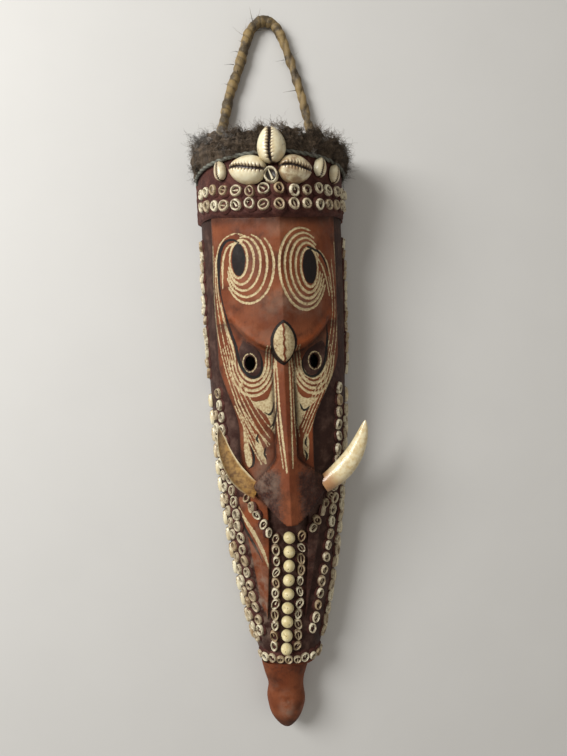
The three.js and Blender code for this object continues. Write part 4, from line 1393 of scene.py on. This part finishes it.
def crest_cowries():
    """The large and small cowries on the headband, and the cut shell between them."""
    small = tuple(0.52 * c for c in COWRIE_SIZE)
    shorter = (COWRIE_SIZE[0] * 0.9, *COWRIE_SIZE[1:])
    lays = {
        "crest_cowrie_top": (-3.4, TOP_Y - 10.5, 0.05, shorter, 0.1),
        "crest_cowrie_left": (-20, TOP_Y - 25, 1.45, COWRIE_SIZE, 0.15),
        "crest_cowrie_right": (11.5, TOP_Y - 26, -1.6, shorter, 1.0),
        "band_cowrie_left": (19 - HALF_WIDTH, TOP_Y - 21, 0.2, small, 0.5),
        "band_cowrie_right": (HALF_WIDTH - 27, TOP_Y - 21, -0.2, small, 0.1),
        "band_cowrie_far_right": (HALF_WIDTH - 15, TOP_Y - 22, -0.3, small, 0.3),
    }
    for node, (x, y, turn, size, stained) in lays.items():
        point, normal = seat(x, y, cover, BAND_GROW)
        points, faces, slit = cowrie_points(*size)
        piece = Builder("slit", "stain")
        lift = 2.5 if node == "crest_cowrie_top" else CLEARANCE
        posed = place_points(points, stand(point + normal * lift, normal, turn))
        piece.add(posed, faces, slit=slit, stain=stained)
        piece.build(node + "_shell", COWRIE, "cowrie", [node])
    size, turn = 13, 0.3
    point, normal = seat(-4.5, 191, cover, BAND_GROW)
    points, faces, hollow = cut_shell_points(size, size * 0.8, 3.4, 5)
    cut_one = Builder("hollow", "tone")
    placed = place_points(points, stand(point + normal * 1.5, normal, turn))
    cut_one.add(placed, faces, hollow=hollow, tone=0.1)
    cut_one.build("crest_cut_shell", CUT_SHELL, "cut_shell")


crest_cowries()


def rim_cowries():
    """Longer shells set on edge along the lower sides."""
    for name, side in (("left", -1), ("right", 1)):
        seats, pitch = places_along(rim_place(side, 0.992, 0.985, 38, -168), 15)
        row = Builder("slit", "stain")
        for i, (point, normal) in enumerate(seats):
            local = random.Random(f"rim{name}{i}")
            size = (pitch * local.uniform(0.86, 1.02), SHELL_WIDTH * local.uniform(0.9, 1.1), 3.0)
            points, faces, slit = cowrie_points(*size, rows=16, columns=14, teeth=6)
            pose = stand(point + normal * 0.2, normal, local.uniform(-0.15, 0.15))
            row.add(place_points(points, pose), faces, slit=slit, stain=local.random() ** 2)
        row.build(f"rim_cowries_{name}_shells", COWRIE, "cowrie", [f"rim_cowries_{name}"])


rim_cowries()


# Seeds down the chin


def chin_seeds():
    """Dry seeds with a pierced hole, three of them chipped."""
    for i in range(SEED_COUNT):
        local = random.Random(i + 40)
        node = f"chin_seed_{i + 1}"
        low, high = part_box(node)
        middle = np.array((low + high) / 2) / MM
        chipped = i in (5, 7, 8)
        hole_turn = local.uniform(0, 6.28)
        chip_turn = local.uniform(2.2, 4.2)
        seed = Builder("hollow")
        rings, hollow = [], []
        for t in np.linspace(0, math.pi, 20):
            ring = []
            for a in angles_round(28):
                out = np.array([math.sin(t) * math.cos(a), math.sin(t) * math.sin(a), math.cos(t)])
                radius = SEED_RADIUS * (0.985 - 0.03 * math.sin(a * 2 + i) * math.sin(t))
                hole_x, hole_y = 0.35 * math.cos(hole_turn), 0.35 * math.sin(hole_turn)
                from_hole = math.hypot(out[0] - hole_x, out[1] - hole_y)
                hole = math.exp(-(from_hole**2) / 0.008) if out[2] > 0 else 0.0
                radius -= 0.8 * hole
                if chipped:
                    bite = out[0] * math.cos(chip_turn) + out[1] * math.sin(chip_turn) * 0.6 + 0.55 * out[2]
                    radius -= 1.5 * max(0.0, bite - 0.86) / 0.14
                ring.append(Vector(middle + out * radius))
                hollow.append(hole)
            rings.append(ring)
        seed.grid(rings, hollow=hollow)
        seed.build(f"{node}_dry", SEED, "seed", [node])


chin_seeds()


# Tusks


def tusk(side):
    """A split tusk, rounded on one face and a little hollow on the other."""
    left = side < 0
    ends = (
        [(-23.5, -39, 44.5), (-47, -25, 47), (-50, 11.5, 52)]
        if left
        else [(28, -37, 45), (56, -21, 49), (61, 12, 53)]
    )
    start, bend, tip = (Vector(p) for p in ends)
    facing = -1 if left else 1
    lean = 0.35 if left else 0.25
    width = TUSK_WIDTH * (0.76 if left else 0.88)
    sides, rows = 40, 60
    blade = Builder("along", "inner")
    rings, along_values, inner_values = [], [], []
    for r in range(rows + 1):
        t = r / rows
        middle = start * (1 - t) ** 2 + bend * 2 * t * (1 - t) + tip * t * t
        along = ((bend - start) * (1 - t) + (tip - bend) * t).normalized()
        face = Vector((-side * math.sin(lean), 0, math.cos(lean)))
        face = (face - along * face.dot(along)).normalized()
        across = along.cross(face)
        size = max(0.03, (1 - t**2.4) ** 0.65) * mix(0.84, 1.0, float(smooth(t / 0.35)))
        ring = []
        for angle in angles_round(sides):
            u = math.cos(angle)
            rounded = math.sin(angle) >= 0
            swell = math.sqrt(max(0, 1 - u * u))
            w = swell if rounded else 0.35 * swell**1.4
            chatter = 0.12 * math.sin(t * 26 + u * 3) * size
            wide = u * width / 2 * size
            high = (w - 0.5) * TUSK_THICKNESS * size + chatter * (1 if rounded else 0.6)
            ring.append(middle + across * wide + face * (facing * high))
            along_values.append(t)
            inner_values.append(0.0 if rounded else float(smooth((0.93 - abs(u)) * 6)))
        rings.append(ring)
    blade.grid(rings, along=along_values, inner=inner_values)
    name = "left" if left else "right"
    blade.build(f"tusk_{name}_blade", TUSK, "tusk", [f"tusk_{name}"])


tusk(-1)
tusk(1)


# The headband


def headband():
    """Paste laid over the top of the face, thin at its lower edge."""
    shares = section_shares(70)
    rings = []
    for v in np.linspace(0, 1, 46):
        ring = []
        for share in shares:
            x = float(share * HALF_WIDTH)
            y = mix(float(band_edge(x)), BAND_HIGH_Y, v)
            lump = 0.35 * math.sin(x * 0.5 + y * 0.3) * math.sin(y * 0.8 - x * 0.2)
            edge = BAND_GROW * float(smooth(min(v / 0.05, (1 - v) / 0.04) * 0.9 + 0.1))
            grow = max(0.1, edge - 0.35 + lump * 0.6)
            point, normal = seat(x * float(half_width(y)) / HALF_WIDTH, y, cover, grow)
            if abs(share) > 0.9999:
                point = Vector((math.copysign(float(half_width(y)) + grow, share), y, 0.2))
            ring.append(point)
        rings.append(ring)
    band = Builder()
    band.grid(rings, closed=False)
    band.build("headband_paste", DARK_PASTE, "dark_paste", ["headband"])


headband()


# The hair and the cloth it is tied with


def crown_place(share, y):
    """A place round the top of the mask, from its left rim over the ridge to its right rim."""
    shares = section_shares(60)
    at = float(np.interp(share, np.linspace(0, 1, len(shares)), shares))
    x = at * float(half_width(min(y, TOP_Y)))
    inside = HALF_WIDTH - 1.1
    point, normal = seat(min(max(x, -inside), inside), min(y, TOP_Y), cover, BAND_GROW + CLEARANCE)
    if abs(at) > 0.985:
        drop = (abs(at) - 0.985) / 0.015
        point.z *= 1 - drop
        normal = Vector((math.copysign(1, at), 0, 0.1)).normalized()
    point.y = y
    return point, normal, at


def hair_top(at):
    """The fringe's top edge: it dips over the ridge and is worn lower at the right."""
    return HAIR_TOP_Y - HAIR_DIP * (1 - abs(at) ** 2) - 5 * float(smooth((at - 0.45) / 0.5))


def add_strand(builder, start, out, length, curl, width, tone, steps):
    """A curly hair: a thin three-sided tube that winds as it goes."""
    out = np.array(out) / np.linalg.norm(out)
    side = np.cross(out, rng.normal(0, 1, 3))
    side /= np.linalg.norm(side)
    over = np.cross(out, side)
    phase = rng.uniform(0, 6.28)
    bend = rng.normal(0, 0.5, 3)
    rings = []
    for i in range(steps + 1):
        t = i / steps
        turn = phase + t * curl
        reach = 1.1 * min(1, 3 * t)
        place = np.array(start) + (out + bend * t) * length * t
        place = place + (side * math.cos(turn) + over * math.sin(turn)) * reach
        place[2] = max(place[2], 0.4)
        thick = width * (1.1 - 0.7 * t)
        rings.append([round_axis((place, side, over), turn + a, thick) for a in (0, 2.1, 4.2)])
    builder.grid(rings, tone=tone)


def hair_mat():
    """The matted base of the fringe that the strands stand out of."""
    mat = Builder("tone")
    rings, tones = [], []
    for v in np.linspace(0, 1, 40):
        ring = []
        for u in np.linspace(0, 1, 260):
            _, _, at = crown_place(u, TOP_Y - 4)
            ragged = 1.6 * math.sin(u * 57 + 1) + 1.1 * math.sin(u * 131)
            y = mix(HAIR_LOW_Y + 3, hair_top(at) - 4.5 + ragged, v)
            point, normal, _ = crown_place(u, y)
            tuft = 0.5 + 0.25 * math.sin(u * 93 + v * 6) * math.sin(u * 47 - v * 5 + 2)
            tuft += 0.25 * math.sin(u * 211 + v * 13) * math.sin(u * 171 - v * 17)
            lift = 6.4 * math.sin(math.pi * min(0.999, v * 0.82 + 0.1)) * (0.35 + 0.65 * tuft)
            point += normal * lift
            point.z = max(point.z, 0.3)
            ring.append(point)
            tones.append(0.55 * tuft * tuft)
        rings.append(ring)
    mat.grid(rings, closed=False, tone=tones)
    mat.build("hair_mat", DARK_HAIR, "hair", ["hair_fringe"])


def hair_strands():
    """Curly locks: a few hairs that start together and lean the same way."""
    strands, fluff = Builder("tone"), Builder("tone")
    for _ in range(300):
        u = rng.uniform(0.0, 1.0)
        _, _, at = crown_place(u, TOP_Y - 4)
        y = mix(HAIR_LOW_Y + 3, hair_top(at) - 4, rng.uniform() ** 0.75)
        point, normal, _ = crown_place(u, y)
        upward = (y - HAIR_LOW_Y) / (HAIR_TOP_Y - HAIR_LOW_Y)
        drift = np.array([rng.normal(0, 0.4), mix(-0.45, 0.5, upward), rng.normal(0, 0.3)])
        lean = np.array(normal) * 0.7 + drift
        pale = (0.1 < u < 0.36 and y > TOP_Y - 1 and rng.uniform() < 0.6) or rng.uniform() < 0.04
        target = fluff if pale else strands
        tone = rng.uniform(0, 1) ** 1.3
        length = rng.uniform(3.0, 6.2)
        curl = rng.uniform(5, 13)
        for _ in range(12):
            start = np.array(point + normal * 2.2) + rng.normal(0, 0.9, 3)
            out = lean + rng.normal(0, 0.28, 3)
            reach = length * rng.uniform(0.7, 1.15)
            shade = float(clamp01(tone + rng.normal(0, 0.15)))
            add_strand(target, start, out, reach, curl, HAIR_RADIUS, shade, 8)
    strands.build("hair_strands", DARK_HAIR, "hair")
    fluff.build("hair_fluff", PALE_FLUFF, "hair")


def curly_tuft():
    """A few springy hairs that stand up at the top, right of the middle."""
    tuft = Builder("tone")
    for _ in range(12):
        start = (rng.normal(3, 2), HAIR_TOP_Y - 10 + rng.uniform(-2, 2), rng.uniform(52, 62))
        out = (rng.normal(0.1, 0.3), 1.0, rng.normal(0.1, 0.3))
        reach, curl, shade = rng.uniform(6, 10), rng.uniform(12, 22), float(rng.uniform(0.3, 1))
        add_strand(tuft, start, out, reach, curl, HAIR_RADIUS, shade, 18)
    tuft.build("hair_tuft", DARK_HAIR, "hair")


def tie_cloth():
    """A twisted strip of woven cloth that ties the hair on, seen at the left of the band."""
    strip = Builder("tone")
    count, sides = 260, 10
    path = []
    for u in np.linspace(0.0, 1.0, count):
        point, normal, _ = crown_place(u, HAIR_LOW_Y + 2.5)
        path.append(np.array(point + normal * 1.4))
    rings, tones = [], []
    for i, axis in enumerate(frames_along(np.array(path))):
        ring = []
        for angle in angles_round(sides):
            strand = abs(math.cos(angle - i * 0.42))
            ring.append(round_axis(axis, angle, 0.9 + 0.65 * strand, 0.2))
            # Darker tone where the strip sinks between its strands: painted shade
            tones.append(1 - strand)
        rings.append(ring)
    strip.grid(rings, tone=tones)
    strip.build("tie_cloth", CLOTH, "hair")


hair_mat()
hair_strands()
curly_tuft()
tie_cloth()


# The floor and the light


def add_floor():
    reach = 3000
    corners = [(-reach, -reach, 0), (reach, -reach, 0), (reach, reach, 0), (-reach, reach, 0)]
    floor = new_object("floor", corners, [(0, 1, 2, 3)])
    n = Nodes("floor")
    color = n.blend(n.noise(60, 3), (0.55, 0.54, 0.525), (0.58, 0.57, 0.555))
    floor.data.materials.append(n.finish(color, 0.75))


def add_light(name, place, size, power, color):
    """A soft area light aimed at the mask."""
    lamp = bpy.data.lights.new(name, "AREA")
    lamp.size, lamp.energy, lamp.color = size, power, color
    light = bpy.data.objects.new(name, lamp)
    light.location = place
    aim = Vector((0, 0.03, 0.03)) - Vector(place)
    light.rotation_euler = aim.to_track_quat("-Z", "Y").to_euler()
    bpy.context.scene.collection.objects.link(light)


add_floor()
add_light("window", (-1.0, 0.6, 0.85), 0.7, 26, (0.99, 0.99, 0.97))
add_light("fill", (1.1, -0.3, 1.1), 1.4, 2.5, (1.0, 0.95, 0.86))
world = bpy.data.worlds.new("studio")
bpy.context.scene.world = world
world.use_nodes = True
world.node_tree.nodes["Background"].inputs["Color"].default_value = (0.92, 0.88, 0.81, 1)
world.node_tree.nodes["Background"].inputs["Strength"].default_value = 0.36
bpy.context.scene.view_settings.view_transform = "Standard"
